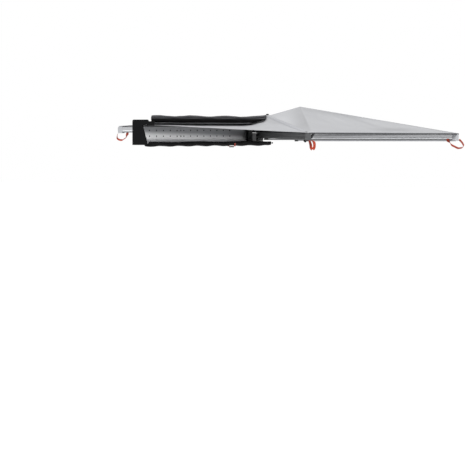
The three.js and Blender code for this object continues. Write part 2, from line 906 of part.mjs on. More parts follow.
// Shares of the plane's two sides: from its first place to its second, and from there to its last.
const loopCurveShares = [
  [0, 0],
  [0.5, 0],
  [1, 0],
  [1.35, 0.12],
  [1.68, 0.3],
  [1.85, 0.55],
  [1.62, 0.78],
  [1.3, 0.93],
  [1, 1],
];
const loopTurnSteps = 4;
const loopSteps = 12;
function tipLoop(side) {
  const towards = -Math.sign(side);
  const faceAside = beamWidth / 2 + ledgeProud + fit + webbingThickness / 2;
  const place = ([along, beside, down], from) =>
    new THREE.Vector3(
      armReach - loopStart + along * loopReach,
      side + towards * THREE.MathUtils.lerp(from, loopAside, beside),
      -beamHeight - down * loopDrop,
    );
  const flat = loopFlatShares.map((shares) => place(shares, faceAside));
  const [first, second, last] = loopPlaneShares.map((shares) => place(shares, 0));
  const outward = second.clone().sub(first);
  const upward = last.clone().sub(second);
  const curve = loopCurveShares.map(([out, up]) =>
    first.clone().addScaledVector(outward, out).addScaledVector(upward, up),
  );
  const hanging = new THREE.CatmullRomCurve3(curve).getPoints(loopSteps);
  const flatAxis = new THREE.Vector3(1, 0, 0);
  const planeAxis = outward.clone().cross(upward).normalize();
  if (planeAxis.y < 0) planeAxis.negate();
  const turning = Array.from({ length: loopTurnSteps - 1 }, (_, i) => (i + 1) / loopTurnSteps);
  const path = [
    ...flat,
    ...turning.map((share) => flat.at(-1).clone().lerp(first, share)),
    ...hanging,
  ];
  const axes = [
    ...flat.map(() => flatAxis),
    ...turning.map((share) => flatAxis.clone().lerp(planeAxis, share)),
    ...hanging.map(() => planeAxis),
  ];
  return webbing(
    path.map((point) => point.toArray()),
    axes.map((axis) => axis.toArray()),
    webbingWidth,
    webbingThickness,
  );
}

armGroups.forEach((group, i) => {
  const name = `arm_${i + 1}`;
  piece(`${name}_beam`, beam(lanes[i]), i === 0 ? darkMetal : silver, group);
  piece(`${name}_knuckle`, knuckle(i), darkMetal, knuckleGroups[i]);
  piece(`${name}_end_cap`, endCap(lanes[i], i === legArm), greyPlastic, group);
  piece(`${name}_loop`, tipLoop(lanes[i]), orangeWebbing, group);
});

// Leg, stowed in the slot under its arm

const legSide = lanes[legArm];
const legZ = -beamHeight - legCentreBelow;
const legPinX = armReach - legPinFromTip;
const legPinZ = -beamHeight + legPinAbove;
const legTop = legPinX + legStub;
const legCollarX = legStart + legInnerShows;
const legOuterX = legCollarX + legCollarLength + fit;
const legGroup = armGroups[legArm];
const legSides = 16;

// A rod or a tube along the stowed leg.
function legRound(fromX, toX, diameter, bore = 0) {
  const body = rod([fromX, legSide, legZ], [toX, legSide, legZ], diameter, legSides);
  if (!bore) return body;
  const hollow = rod(
    [fromX - overrun, legSide, legZ],
    [toX + overrun, legSide, legZ],
    bore,
    legSides,
  );
  return cut(body, hollow);
}

function legPin(diameter, reach) {
  return rod(
    [legPinX, legSide - reach, legPinZ],
    [legPinX, legSide + reach, legPinZ],
    diameter,
    12,
  );
}
const legBore = legTube - 2 * legTubeWall;
const pinHole = legPin(legPinDiameter + runningGap, legTube);
piece("leg_pivot_pin", legPin(legPinDiameter, capWidth / 2 - fit), steel, legGroup);
piece("leg_outer_tube", cut(legRound(legOuterX, legTop, legTube, legBore), pinHole), silver, legGroup);
piece(
  "leg_lock_collar",
  legRound(legCollarX, legCollarX + legCollarLength, legCollarDiameter, legInnerTube + runningGap),
  blackPlastic,
  legGroup,
);
piece(
  "leg_inner_tube",
  legRound(
    legStart + fit,
    legCollarX + legInnerHidden,
    legInnerTube,
    legInnerTube - 2 * legTubeWall,
  ),
  silver,
  legGroup,
);
piece("leg_foot", legRound(legStart - legFootLength, legStart, legFootDiameter), rubber, legGroup);

// A spring clip in the slot, open below, that grips the stowed tube.
function legClip() {
  const inner = beamWidth / 2 - beamWall - fit;
  const slotTop = -beamHeight + beamSlot - fit;
  const shell = box(
    [clipReach, legSide - inner, legZ],
    [clipReach + clipLength, legSide + inner, slotTop],
  );
  const hollow = rod(
    [clipReach - overrun, legSide, legZ],
    [clipReach + clipLength + overrun, legSide, legZ],
    legTube + 2 * fit,
    legSides,
  );
  return cut(shell, hollow);
}
piece("leg_clip", legClip(), blackPlastic, legGroup);

// Straps and a buckle at the first arm's tip

const strapSide = lanes[0] + capWidth / 2 + runningGap + webbingThickness / 2;
// Each share runs from the cloth's edge to the cap: inward along the arm, out beside it, and down.
const strapShares = [
  [1, 1, 0],
  [0.85, 0.75, 0.25],
  [0.6, 0.25, 0.6],
  [0.42, 0.04, 0.82],
  [0.3, 0.02, 1],
];
const strapReach = [capLength - capEndWall, capWidth, beamHeight];
const strapPath = strapShares.map(([inward, beside, down]) => [
  armReach - inward * strapReach[0],
  strapSide + beside * strapReach[1],
  capAbove - webbingThickness - down * strapReach[2],
]);
piece(
  "arm_1_corner_strap",
  webbing(smoothPath(strapPath, 8), [[1, 0, 0]], strapWidth, webbingThickness),
  blackWebbing,
  armGroups[0],
);

// The buckle hangs under the beam and narrows to a point.
function tipBuckle() {
  const x = armReach - buckleFromTip;
  const top = -beamHeight - fit;
  const half = buckleWidth / 2;
  const side = lanes[0];
  const outline = [
    [side - half, top],
    [side - half, top - buckleDrop / 2],
    [side - half / 3, top - buckleDrop],
    [side + half / 3, top - buckleDrop],
    [side + half, top - buckleDrop / 2],
    [side + half, top],
  ];
  return alongX(outline, x, x + buckleThickness);
}
piece("arm_1_buckle", tipBuckle(), blackPlastic, armGroups[0]);

// Boom

const apex = [apexX, apexY];
const [peakX, peakY] = onArm(legArm, peakReach, 0, 0);
const boomHeading = new THREE.Vector2(peakX - apexX, peakY - apexY);
const boomReach = boomHeading.length();
boomHeading.normalize();
const boomTopZ = peakZ - canopyThickness - fit;
const collarTop = apexZ - postCapHeight - boomCollarBelowCap;
const collarBottom = collarTop - boomCollarHeight;
const boomRootZ = (collarTop + collarBottom) / 2;
const boomEndZ = boomTopZ - boomHeadHeight;

// A place along the boom's centre line, as a share of the way from the post's axis to the peak.
function onBoom(share) {
  const out = boomReach * share;
  return [
    apexX + boomHeading.x * out,
    apexY + boomHeading.y * out,
    boomRootZ + (boomEndZ - boomRootZ) * share,
  ];
}
const collarRadiusShare = boomCollarDiameter / 2 / boomReach;
const socketEndShare = collarRadiusShare + boomSocketLength / boomReach;
const tubeStartShare = socketEndShare - boomSocketDepth / boomReach;

function boomCollar() {
  const sides = 24;
  const ring = rod([...apex, collarBottom], [...apex, collarTop], boomCollarDiameter, sides);
  const socket = rod(
    onBoom(collarRadiusShare / 2),
    onBoom(socketEndShare),
    boomSocketDiameter,
    sides,
  );
  const bore = rod(
    [...apex, collarBottom - boomSocketDiameter],
    [...apex, collarTop + boomSocketDiameter],
    postDiameter + 2 * runningGap,
    sides,
  );
  const seat = rod(
    onBoom(tubeStartShare - fit / boomReach),
    onBoom(1),
    boomTube + 2 * fit,
    sides,
  );
  return cut(joined(ring, socket), bore, seat);
}
piece("boom_collar", boomCollar(), blackPlastic);

const headShare = boomHeadDiameter / 4 / boomReach;
function boomTubePiece() {
  const tube = rod(onBoom(tubeStartShare), onBoom(1 - headShare), boomTube, 16);
  const hollow = rod(onBoom(socketEndShare), onBoom(1), boomTube - 2 * legTubeWall, 16);
  return cut(tube, hollow);
}
piece("boom_tube", boomTubePiece(), silver);

// The head: a round block on the tube's end, coned so that the cloth lies over it.
function boomHead() {
  const radius = boomHeadDiameter / 2;
  const low = boomEndZ - boomTube / 2;
  const profile = [
    [0, low],
    [radius - boomHeadHeight / 2, low],
    [radius, boomEndZ],
    [0, boomTopZ],
  ].map(([r, z]) => new THREE.Vector2(r, z));
  const cone = new THREE.LatheGeometry(profile, 20);
  cone.rotateX(Math.PI / 2);
  cone.translate(peakX, peakY, 0);
  const seat = rod(
    onBoom(socketEndShare),
    onBoom(1 - headShare + fit / boomReach),
    boomTube + 2 * fit,
    16,
  );
  return cut(solidOf(cone), seat);
}
piece("boom_head", boomHead(), blackPlastic);

// Canopy

const seamSide = canopySeam / 2;
const clothRise = capAbove + clothGap + canopyThickness;
const railGrooveZ = plateTop + fit + railHeight - railGroove;
const railClothY = plateBackY - railDepth - fit;
const railClothZ = railGrooveZ + canopyThickness / 2;
const railFront = [frontX + canopyRailFrontInset, railClothY, railClothZ];
const railRear = [rearX - canopyRailRearInset, railClothY, railClothZ];

const eaves = [rearX - eavesFromRear, outboardY - eavesOut, eavesZ];

// Each arm's cloth corner, on the side of the panel ahead of it (-1) or behind it (1).
const tip = (i, side) => onArm(i, armReach, lanes[i] + side * seamSide, clothRise);
const peak = (side) => {
  const [x, y] = onArm(legArm, peakReach, side * seamSide, 0);
  return [x, y, peakZ];
};

// The cloth's corner on the apex ring, towards a given place, beside the seam.
function ring(towards, side) {
  const heading = new THREE.Vector2(towards[0] - apexX, towards[1] - apexY).normalize();
  return [
    apexX + heading.x * apexRing - side * heading.y * seamSide,
    apexY + heading.y * apexRing + side * heading.x * seamSide,
    apexZ + fit + canopyThickness,
  ];
}

// How far a free edge between two corners is pulled towards the apex.
function pullOf(a, b) {
  const middle = new THREE.Vector3((a[0] + b[0]) / 2, (a[1] + b[1]) / 2, 0);
  const inward = new THREE.Vector3(apexX, apexY, 0).sub(middle).setLength(canopyHemPull);
  return inward.toArray();
}

function canopyPanel(...parts) {
  return sheet(
    parts.map(([corners, sag, pull]) => patch(corners, sag, pull)),
    canopyThickness,
  );
}

const tips = {
  firstAhead: tip(0, -1),
  firstBehind: tip(0, 1),
  secondAhead: tip(1, -1),
  secondBehind: tip(1, 1),
  thirdAhead: tip(2, -1),
  thirdBehind: tip(2, 1),
  fourth: tip(3, -1),
};
piece(
  "canopy_panel_1",
  canopyPanel(
    [[eaves, eaves, ring(railRear, 1), ring(tips.firstAhead, -1)], 0],
    [[eaves, eaves, railRear, ring(railRear, 1)], 0],
    [[eaves, eaves, ring(tips.firstAhead, -1), tips.firstAhead], canopySag / 2],
    [[eaves, eaves, tips.firstAhead, railRear], canopySag / 2],
    [
      [railRear, railRear, tips.firstAhead, railFront],
      canopySag,
      pullOf(tips.firstAhead, railFront),
    ],
  ),
  canopyCloth,
);
piece(
  "canopy_panel_2",
  canopyPanel(
    [[ring(tips.firstBehind, 1), ring(peak(-1), -1), peak(-1), tips.firstBehind], canopySag],
    [
      [peak(-1), peak(-1), tips.secondAhead, tips.firstBehind],
      canopySag,
      pullOf(tips.firstBehind, tips.secondAhead),
    ],
  ),
  canopyCloth,
);
piece(
  "canopy_panel_3",
  canopyPanel(
    [[ring(peak(1), 1), ring(tips.thirdAhead, -1), tips.thirdAhead, peak(1)], canopySag],
    [
      [peak(1), peak(1), tips.thirdAhead, tips.secondBehind],
      canopySag,
      pullOf(tips.secondBehind, tips.thirdAhead),
    ],
  ),
  canopyCloth,
);
piece(
  "canopy_panel_4",
  canopyPanel([
    [ring(tips.thirdBehind, 1), ring(tips.fourth, -1), tips.fourth, tips.thirdBehind],
    canopySag,
    pullOf(tips.thirdBehind, tips.fourth),
  ]),
  canopyCloth,
);

// Cover flaps

// A flap as a loft of outlines in Y and Z between two places along the case.
function flap(fromX, toX, outlineAt) {
  const rings = Array.from({ length: flapSections + 1 }, (_, i) => {
    const x = fromX + ((toX - fromX) * i) / flapSections;
    return outlineAt(x).map(([y, z]) => [x, y, z]);
  });
  return loft(rings);
}

// A wave along the case, from -1 to 1.
const waveAt = (x, waves, phase) => Math.sin(2 * Math.PI * (waves * (x / caseLength) + phase));

// The rolled part of the upper flap's outline: shares of the roll inboard, of the bulge outboard and of
// the height.
const upperFlapShares = [
  [1, 0, 0],
  [0.25, 0, 0],
  [0, 0.5, 0.25],
  [0, 1, 0.5],
  [0.08, 0, 0.83],
  [0.33, 0, 1],
  [0.8, 0, 0.92],
  [1.2, 0, 0.6],
  [1.6, 0, 0.3],
];
const upperFlapPhase = 0.25;

// The upper flap is clamped on the top rail and bunched into a roll at the outboard edge. Towards the
// hub it tapers to the apex, above the rising cloth.
function upperFlapOutline(x) {
  const tailStart = rearX - upperFlapRearInset - upperFlapTail;
  const t = Math.max(0, (x - tailStart) / upperFlapTail);
  const mix = THREE.MathUtils.lerp;
  const wave = upperFlapWave * waveAt(x, upperFlapWaves, upperFlapPhase) * (1 - t);
  const bulge = upperFlapWave * waveAt(x, upperFlapWaves * 2, 0) * (1 - t);
  const railTop = plateTop + fit + railHeight + fit;
  const innerTail = outboardY + 2 * flapRoll;
  const y0 = mix(plateBackY, innerTail, t);
  const y1 = mix(plateBackY - railDepth, innerTail, t) - fit;
  const low = mix(upperFlapBottom, upperFlapTailBottom, t);
  const tall = mix(upperFlapTop, upperFlapTailTop, t) + wave - low;
  const seat = mix(railTop, upperFlapTailBottom, t);
  const rolled = upperFlapShares.map(([inboard, outboard, up]) => [
    outboardY + flapRoll * inboard - bulge * outboard,
    low + tall * up,
  ]);
  return [
    [y0, seat],
    [y1, seat],
    ...rolled,
    [y1, seat + upperFlapSheet],
    [y0, seat + upperFlapSheet],
  ];
}
piece(
  "upper_flap",
  flap(frontX + flapFrontInset, rearX - upperFlapRearInset, upperFlapOutline),
  coverCloth,
);

// The lower flap's bunched outline: shares of its width inboard, of its height down and of the bulge
// outboard.
const lowerFlapShares = [
  [0.08, 0.08, 0],
  [0, 0.5, 0.5],
  [0.08, 0.85, 0],
  [0.31, 1, 0],
  [0.79, 0.97, 0],
  [0.96, 0.7, 0],
];
const lowerFlapPhase = 0.33;
const lowerFlapSlack = 2.5; // how far the rolled cloth keeps below the shelf

// The lower flap hangs from the lower rail and is bunched up under the trough.
function lowerFlapOutline(x) {
  const wave = lowerFlapWave * waveAt(x, lowerFlapWaves, 0);
  const bulge = lowerFlapWave * waveAt(x, lowerFlapWaves, lowerFlapPhase);
  const railOuter = shelfEdgeY - lipRailWidth - fit;
  const under = shelfBottom - fit;
  const low = lowerFlapBottom + wave;
  const top = lowerFlapTop - lowerFlapWave + wave;
  const front = outboardY - lowerFlapProud;
  const width = flapRoll + lowerFlapProud;
  const bunched = lowerFlapShares.map(([inboard, down, outboard]) => [
    front + width * inboard - bulge * outboard,
    top + (low - top) * down,
  ]);
  return [
    [railOuter, top],
    ...bunched,
    [outboardY + flapRoll, under - lowerFlapSlack],
    [shelfEdgeY, under],
    [railOuter, under],
  ];
}
piece(
  "lower_flap",
  flap(frontX + flapFrontInset, rearX - lowerFlapRearInset, lowerFlapOutline),
  coverCloth,
);

// The cinch strap holds the bunched lower flap, from the shelf's underside round to the rail's front.
const cinchInner = outboardY + flapRoll + webbingThickness + fit;
const cinchOuter = outboardY - lowerFlapProud - lowerFlapWave - webbingThickness;
const cinchLow = lowerFlapBottom - lowerFlapWave - webbingThickness;
const cinchTop = shelfBottom - fit;
const cinchBend = 2 * webbingThickness + lowerFlapWave;
const cinchPath = [
  [cinchInner, cinchTop],
  ...arc(cinchInner - cinchBend, cinchLow + cinchBend, cinchBend, 0, -90, 4),
  ...arc(cinchOuter + cinchBend, cinchLow + cinchBend, cinchBend, -90, -180, 4),
  [cinchOuter, cinchTop],
].map(([y, z]) => [cinchX, y, z]);
piece(
  "cinch_strap",
  webbing(cinchPath, [[1, 0, 0]], webbingWidth, webbingThickness),
  orangeWebbing,
);
const buckleTop = cinchLow - webbingThickness / 2 - fit;
piece(
  "cinch_buckle",
  box(
    [
      cinchX - buckleWidth / 2,
      (cinchInner + cinchOuter - cinchBuckleLength) / 2,
      buckleTop - cinchBuckleThickness,
    ],
    [cinchX + buckleWidth / 2, (cinchInner + cinchOuter + cinchBuckleLength) / 2, buckleTop],
  ),
  blackPlastic,
);

// The zip's slider hangs off the lower flap's rear end.
const zipX = rearX - lowerFlapRearInset + fit;
const zipY = outboardY;
const zipZ = lowerFlapTop - lowerFlapWave - zipBelowTop;
const zipStem = rod([zipX, zipY, zipZ], [zipX + zipStemLength, zipY, zipZ], zipStemDiameter, 8);
const zipBall = solidOf(
  new THREE.SphereGeometry(zipBallDiameter / 2, 12, 8).translate(zipX + zipStemLength, zipY, zipZ),
);
piece("zip_slider", joined(zipStem, zipBall), blackPlastic);

export default awning;
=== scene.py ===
"""A self-supporting fan awning for a vehicle's roof rack, spread: its looks round the CAD frame.

Lengths are in metres. +X is the rear of the vehicle, -Y is outboard and +Z is up.
"""

import json
import math

import bmesh
import bpy
import numpy as np
from mathutils import Matrix, Vector, noise
from mathutils.bvhtree import BVHTree


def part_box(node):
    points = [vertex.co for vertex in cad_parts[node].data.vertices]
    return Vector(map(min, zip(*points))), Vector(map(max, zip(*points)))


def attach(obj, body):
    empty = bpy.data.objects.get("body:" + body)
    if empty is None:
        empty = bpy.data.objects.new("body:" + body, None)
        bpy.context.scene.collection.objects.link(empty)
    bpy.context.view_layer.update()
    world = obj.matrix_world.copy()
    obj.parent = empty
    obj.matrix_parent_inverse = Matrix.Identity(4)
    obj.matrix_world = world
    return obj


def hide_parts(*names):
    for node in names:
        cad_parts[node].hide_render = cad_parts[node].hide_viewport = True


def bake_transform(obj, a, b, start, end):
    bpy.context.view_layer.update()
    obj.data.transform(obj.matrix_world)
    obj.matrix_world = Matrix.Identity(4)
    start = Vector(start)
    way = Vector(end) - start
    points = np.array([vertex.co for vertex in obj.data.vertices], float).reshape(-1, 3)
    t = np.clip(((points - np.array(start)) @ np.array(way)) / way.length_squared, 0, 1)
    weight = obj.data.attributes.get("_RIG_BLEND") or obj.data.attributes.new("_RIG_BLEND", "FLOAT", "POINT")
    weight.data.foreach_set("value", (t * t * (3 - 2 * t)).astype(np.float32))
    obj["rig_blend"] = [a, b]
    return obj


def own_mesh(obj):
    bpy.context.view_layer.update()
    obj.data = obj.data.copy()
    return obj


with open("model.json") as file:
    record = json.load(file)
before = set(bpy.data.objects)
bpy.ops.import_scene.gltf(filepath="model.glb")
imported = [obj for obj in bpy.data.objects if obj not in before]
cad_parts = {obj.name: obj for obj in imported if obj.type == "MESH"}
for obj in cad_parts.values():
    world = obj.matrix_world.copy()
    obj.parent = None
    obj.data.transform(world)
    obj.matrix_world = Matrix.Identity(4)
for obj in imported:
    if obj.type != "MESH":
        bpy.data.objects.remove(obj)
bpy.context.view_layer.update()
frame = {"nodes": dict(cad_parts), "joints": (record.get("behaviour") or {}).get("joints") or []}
NODES = frame["nodes"]
JOINTS = {joint["name"]: joint for joint in frame["joints"]}

MM = 0.001
UP = Vector((0, 0, 1))

# Hub and arms
HUB = Vector(JOINTS["arm_1_fold"]["pos_m"])
ARM_NAMES = ["arm_1", "arm_2", "arm_3", "arm_4"]
ARM_ANGLES = [47.3, 118.5, 190.0, 261.0]
ARM_REACH = 1760 * MM
LANE = 20 * MM
LANES = [-LANE, LANE, -LANE, LANE]
LEVELS = [JOINTS[f"{name}_fold"]["pos_m"][2] for name in ARM_NAMES]
BEAM_WIDTH = 30 * MM
BEAM_HEIGHT = 52 * MM
BEAM_LIFTS = [19 * MM, 0.0, 10 * MM, 0.0]
BEAM_DROOPS = [11 * MM, 0.0, 0.0, 0.0]
CAP_LENGTH = 57 * MM
CAP_WIDTH = 34 * MM
CAP_ABOVE = 4 * MM

# Case
CASE_LENGTH = 1.88
CASE_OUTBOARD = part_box("hub_top_plate")[0].y
PLATE_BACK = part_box("back_plate")[1].y
CASE_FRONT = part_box("front_end_wall")[0].x
BRACKET_ENDS = ("front", "centre", "rear")

# Canopy
CLOTH = 1.2 * MM
CLOTH_RISE = 6.4 * MM
PEAK_FROM_HUB = 360 * MM
PEAK_HEIGHT = 243 * MM
APEX = Vector(JOINTS["boom_swing"]["pos_m"])
APEX_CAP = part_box("apex_post")[1].z
APEX_RING = 24 * MM
RAIL_REAR = 720 * MM
RAIL_FRONT = CASE_FRONT + 46 * MM
RAIL_Y = -26.6 * MM
RAIL_Z = 85.1 * MM
EAVES = Vector((800 * MM, CASE_OUTBOARD - 9 * MM, 108 * MM))
HEM_PULL = 28 * MM
SAG = 14 * MM
PANEL_STEPS = 40
SEAM_GAP = 0.4 * MM
SEAM_STEPS = 48
APEX_GAP = 0.3 * MM
HEM_WIDTH = 26 * MM
HEM_DROP = 12 * MM
TAPE_WIDTH = 24 * MM

# Webbing
WEBBING_WIDTH = 25 * MM
WEBBING = 1.6 * MM

# Photograph
IMAGE_PIXELS = 465
FOCAL_PIXELS = 2500
CAMERA_PLACE = Vector((-17.693, -12.306, 0.030))
CAMERA_HEADING = Vector((0.829, 0.559, 0.0)).normalized()
CAMERA_PITCH = math.radians(2.33)
FLOOR_BELOW = 2.05
FLOOR_GLOW = 1.0
SENSOR = 36
SKY = 0.5
SUN = 2.5
SUN_ANGLE = math.radians(25)
SUN_WAY = Vector((0.75, 0.25, -0.62))
FLOOR_HALF = 60


def clamp(value):
    return min(max(value, 0.0), 1.0)


def in_metres(section):
    """A section that is given in millimetres."""
    return [(a / 1000, b / 1000) for a, b in section]


def with_settings(made, **settings):
    for key, value in settings.items():
        setattr(made, key, value)
    return made


# Materials

PAINTED_SHADING_ATTRIBUTE = "tension"  # painted shade and painted light on the cloth, as an attribute


def add_node(tree, kind, inputs=None, **settings):
    """A shader node with its settings made and its inputs set or linked."""
    made = with_settings(tree.nodes.new(f"ShaderNode{kind}"), **settings)
    for key, value in (inputs or {}).items():
        if isinstance(value, bpy.types.NodeSocket):
            tree.links.new(value, made.inputs[key])
        else:
            made.inputs[key].default_value = value
    return made


class Look:
    """A procedural material, built round one principled shader."""

    def __init__(self, name, color, roughness, metallic=0.0, gloss=0.5, sheen=0.0):
        self.material = with_settings(bpy.data.materials.new(name), use_nodes=True,
                                      diffuse_color=(*color, 1))
        self.tree = self.material.node_tree
        self.shader = self.tree.nodes["Principled BSDF"]
        self.color = color
        sockets = {"Base Color": (*color, 1), "Roughness": roughness, "Metallic": metallic,
                   "Specular IOR Level": gloss, "Sheen Weight": sheen}
        for socket, value in sockets.items():
            self.shader.inputs[socket].default_value = value

    def node(self, kind, inputs=None, **settings):
        return add_node(self.tree, kind, inputs, **settings)

    def place(self, scale=(1, 1, 1), turn=0.0):
        """Coordinates in the part's frame, turned about Z and then scaled."""
        where = self.node("TexCoord").outputs["Object"]
        turned = self.node("Mapping", {"Vector": where, "Rotation": (0, 0, turn)})
        scaled = self.node("Mapping", {"Vector": turned.outputs[0], "Scale": scale})
        return scaled.outputs[0]

    def along_strip(self, scale):
        """Coordinates along and across a strip."""
        where = self.node("UVMap", uv_map="strip").outputs[0]
        return self.node("Mapping", {"Vector": where, "Scale": scale}).outputs[0]

    def noise(self, vector, scale, detail=3.0, rough=0.5):
        inputs = {"Vector": vector, "Scale": scale, "Detail": detail, "Roughness": rough}
        return self.node("TexNoise", inputs).outputs["Fac"]

    def bands(self, vector, scale, direction):
        inputs = {"Vector": vector, "Scale": scale}
        return self.node("TexWave", inputs, bands_direction=direction).outputs["Fac"]

    def math(self, operation, first, second=0.5, third=0.0):
        inputs = {0: first, 1: second, 2: third}
        return self.node("Math", inputs, operation=operation).outputs[0]

    def spread(self, value, low, high):
        """A value from 0 to 1, spread from low to high."""
        return self.node("MapRange", {"Value": value, "To Min": low, "To Max": high}).outputs[0]

    def rise(self, value, low, high, kind="LINEAR"):
        """From 0 to 1 as a value goes from low to high."""
        inputs = {"Value": value, "From Min": low, "From Max": high}
        return self.node("MapRange", inputs, interpolation_type=kind).outputs[0]

    def axis(self, name):
        """One of the coordinates in the part's frame."""
        return self.node("SeparateXYZ", {"Vector": self.place()}).outputs[name]

    def ramp(self, value, stops):
        """A grey level by places from 0 to 1."""
        made = self.node("ValToRGB", {"Fac": value})
        elements = made.color_ramp.elements
        while len(elements) < len(stops):
            elements.new(0.5)
        for element, (at, level) in zip(elements, stops):
            element.position = at
            element.color = (level, level, level, 1)
        return made.outputs["Color"]

    def tint(self, value, dark, light):
        """The base colour varies between two shares of itself."""
        inputs = {
            "Factor": value,
            6: (*[c * dark for c in self.color], 1),
            7: (*[min(c * light, 1) for c in self.color], 1),
        }
        mix = self.node("Mix", inputs, data_type="RGBA")
        self.tree.links.new(mix.outputs[2], self.shader.inputs["Base Color"])

    def roughen(self, value, low, high):
        self.tree.links.new(self.spread(value, low, high), self.shader.inputs["Roughness"])

    def bump(self, height, strength, distance):
        inputs = {"Height": height, "Strength": strength, "Distance": distance}
        before = self.shader.inputs["Normal"]
        if before.is_linked:
            inputs["Normal"] = before.links[0].from_socket
        self.tree.links.new(self.node("Bump", inputs).outputs[0], before)


DRAWN = (6, 900, 900)  # stretches a noise into the fine lines of drawn metal
# Painted highlight and painted shade: grey levels from a beam's bottom to its top, dark in the groove and
# bright on the ledge.
BEAM_PAINTED_LIGHT = [(0.0, 0.14), (0.20, 0.14), (0.23, 1.0), (0.32, 0.98), (0.41, 0.42), (1.0, 0.37)]
# Painted shade: the case's wall darkens between these heights, which fall a little towards the hub.
CASE_SHADE = (-0.045, 0.020)
CASE_SHADE_FALL = 0.025


def drawn(look, lines, low, high):
    look.roughen(lines, low, high)
    look.bump(lines, 0.12, 0.2 * MM)
    return look.material


def aluminium(name, color, heading, top=None):
    """Anodised extrusion: fine lines run along it. A beam has a painted highlight on its ledge over painted
    shade in its groove.
    """
    look = Look(name, color, 0.3, metallic=0.7)
    lines = look.noise(look.place(DRAWN, -heading), 1.0, 4)
    grain = look.math("MULTIPLY", lines, look.noise(look.place(), 9.0, 4))
    if top is None:
        look.tint(grain, 0.86, 1.12)
    else:
        # Painted highlight on the ledge and painted shade in the groove, by height
        bands = look.ramp(look.rise(look.axis("Z"), top - BEAM_HEIGHT, top), BEAM_PAINTED_LIGHT)
        look.tint(look.math("MULTIPLY_ADD", grain, 0.12, bands), 0.0, 1.0)
    return drawn(look, lines, 0.3, 0.42)


def case_aluminium():
    """The trough's wall: satin, with painted shade, darker towards the rail and the hub where the cloth
    shades it. Its back face is darker too.
    """
    look = Look("case_aluminium", (0.60, 0.61, 0.64), 0.4, metallic=0.75)
    height = look.math("MULTIPLY_ADD", look.axis("X"), CASE_SHADE_FALL, look.axis("Z"))
    light = look.math("SUBTRACT", 1.0, look.rise(height, *CASE_SHADE, "SMOOTHSTEP"))
    # The tint also darkens the plate's back face
    rear = look.rise(look.axis("Y"), PLATE_BACK - 1.5 * MM, PLATE_BACK - MM)
    light = look.math("MULTIPLY", light, look.math("SUBTRACT", 1.0, rear))
    lines = look.noise(look.place(DRAWN), 1.0, 4)
    look.tint(look.math("MULTIPLY_ADD", lines, 0.08, light), 0.40, 1.75)
    return drawn(look, lines, 0.36, 0.5)


def clouded(name, color, roughness, scale, tints, rough, detail=4, **shine):
    """A look with soft clouds, and the clouds."""
    look = Look(name, color, roughness, **shine)
    cloud = look.noise(look.place(), scale, detail)
    look.tint(cloud, *tints)
    look.roughen(cloud, *rough)
    return look, cloud


def powder_coat(name, color):
    look, _ = clouded(name, color, 0.5, 14.0, (0.85, 1.18), (0.38, 0.56), gloss=0.35)
    look.bump(look.noise(look.place(), 900.0, 2), 0.15, 0.15 * MM)
    return look.material


def plastic(name, color, roughness=0.5, gloss=0.2):
    rough = (roughness - 0.07, roughness + 0.08)
    look, _ = clouded(name, color, roughness, 18.0, (0.88, 1.14), rough, 3, gloss=gloss)
    grain = look.node("TexVoronoi", {"Vector": look.place(), "Scale": 1100.0}).outputs["Distance"]
    look.bump(grain, 0.18, 0.12 * MM)
    return look.material


def zinc(name, color):
    look, cloud = clouded(name, color, 0.3, 160.0, (0.85, 1.1), (0.24, 0.42), metallic=1.0)
    look.bump(cloud, 0.06, 0.2 * MM)
    return look.material


def rubber(name, color):
    look, cloud = clouded(name, color, 0.78, 120.0, (0.7, 1.5), (0.7, 0.9), gloss=0.35)
    look.bump(cloud, 0.2, 0.3 * MM)
    return look.material


def cloth(name, color, pitch, roughness, sheen, clouds=(0.70, 1.06), gloss=0.2):
    """Plain weave with a ripstop grid every eight threads, over broad soft clouds, with painted shade and
    painted light added from an attribute.
    """
    look = Look(name, color, roughness, gloss=gloss, sheen=sheen)
    where = look.place()
    threads = [look.bands(where, 1 / pitch / 2, axis) for axis in ("X", "Y", "Z")]
    weave = look.math("ADD", look.math("ADD", threads[0], threads[1]), threads[2])
    grid = [look.bands(where, 1 / pitch / 16, axis) for axis in ("X", "Y")]
    ribs = look.math("POWER", look.math("MAXIMUM", grid[0], grid[1]), 12.0)
    broad = look.noise(where, 2.6, 5, 0.55)
    fine = look.noise(where, 38.0, 4, 0.6)
    # Painted shade and painted light, read from the panel's attribute
    tension = look.node("Attribute", attribute_name=PAINTED_SHADING_ATTRIBUTE).outputs["Fac"]
    level = look.math("MULTIPLY_ADD", broad, 0.3, 0.55)
    look.tint(look.math("ADD", level, tension), *clouds)
    look.roughen(fine, roughness - 0.06, roughness + 0.06)
    look.bump(weave, 0.12, 0.12 * MM)
    look.bump(ribs, 0.15, 0.15 * MM)
    look.bump(fine, 0.10, 1.2 * MM)
    return look.material


def painted_sheen_cloth(name, color, low, high, light):
    """Black coated cloth with a painted highlight: paler on its top, where the sky's glancing reflection is
    painted in soft patches.
    """
    look = Look(name, color, 0.6, gloss=0.03)
    # Painted highlight: the top is paler between these heights
    share = look.rise(look.axis("Z"), low, high, "SMOOTHSTEP")
    patches = look.noise(look.place((1, 3, 3)), 5.0, 4)
    look.tint(look.math("MULTIPLY", share, look.spread(patches, 0.5, 1.1)), 0.7, light)
    fine = look.noise(look.place(), 38.0, 4, 0.6)
    look.roughen(fine, 0.48, 0.62)
    look.bump(fine, 0.15, 1.2 * MM)
    return look.material


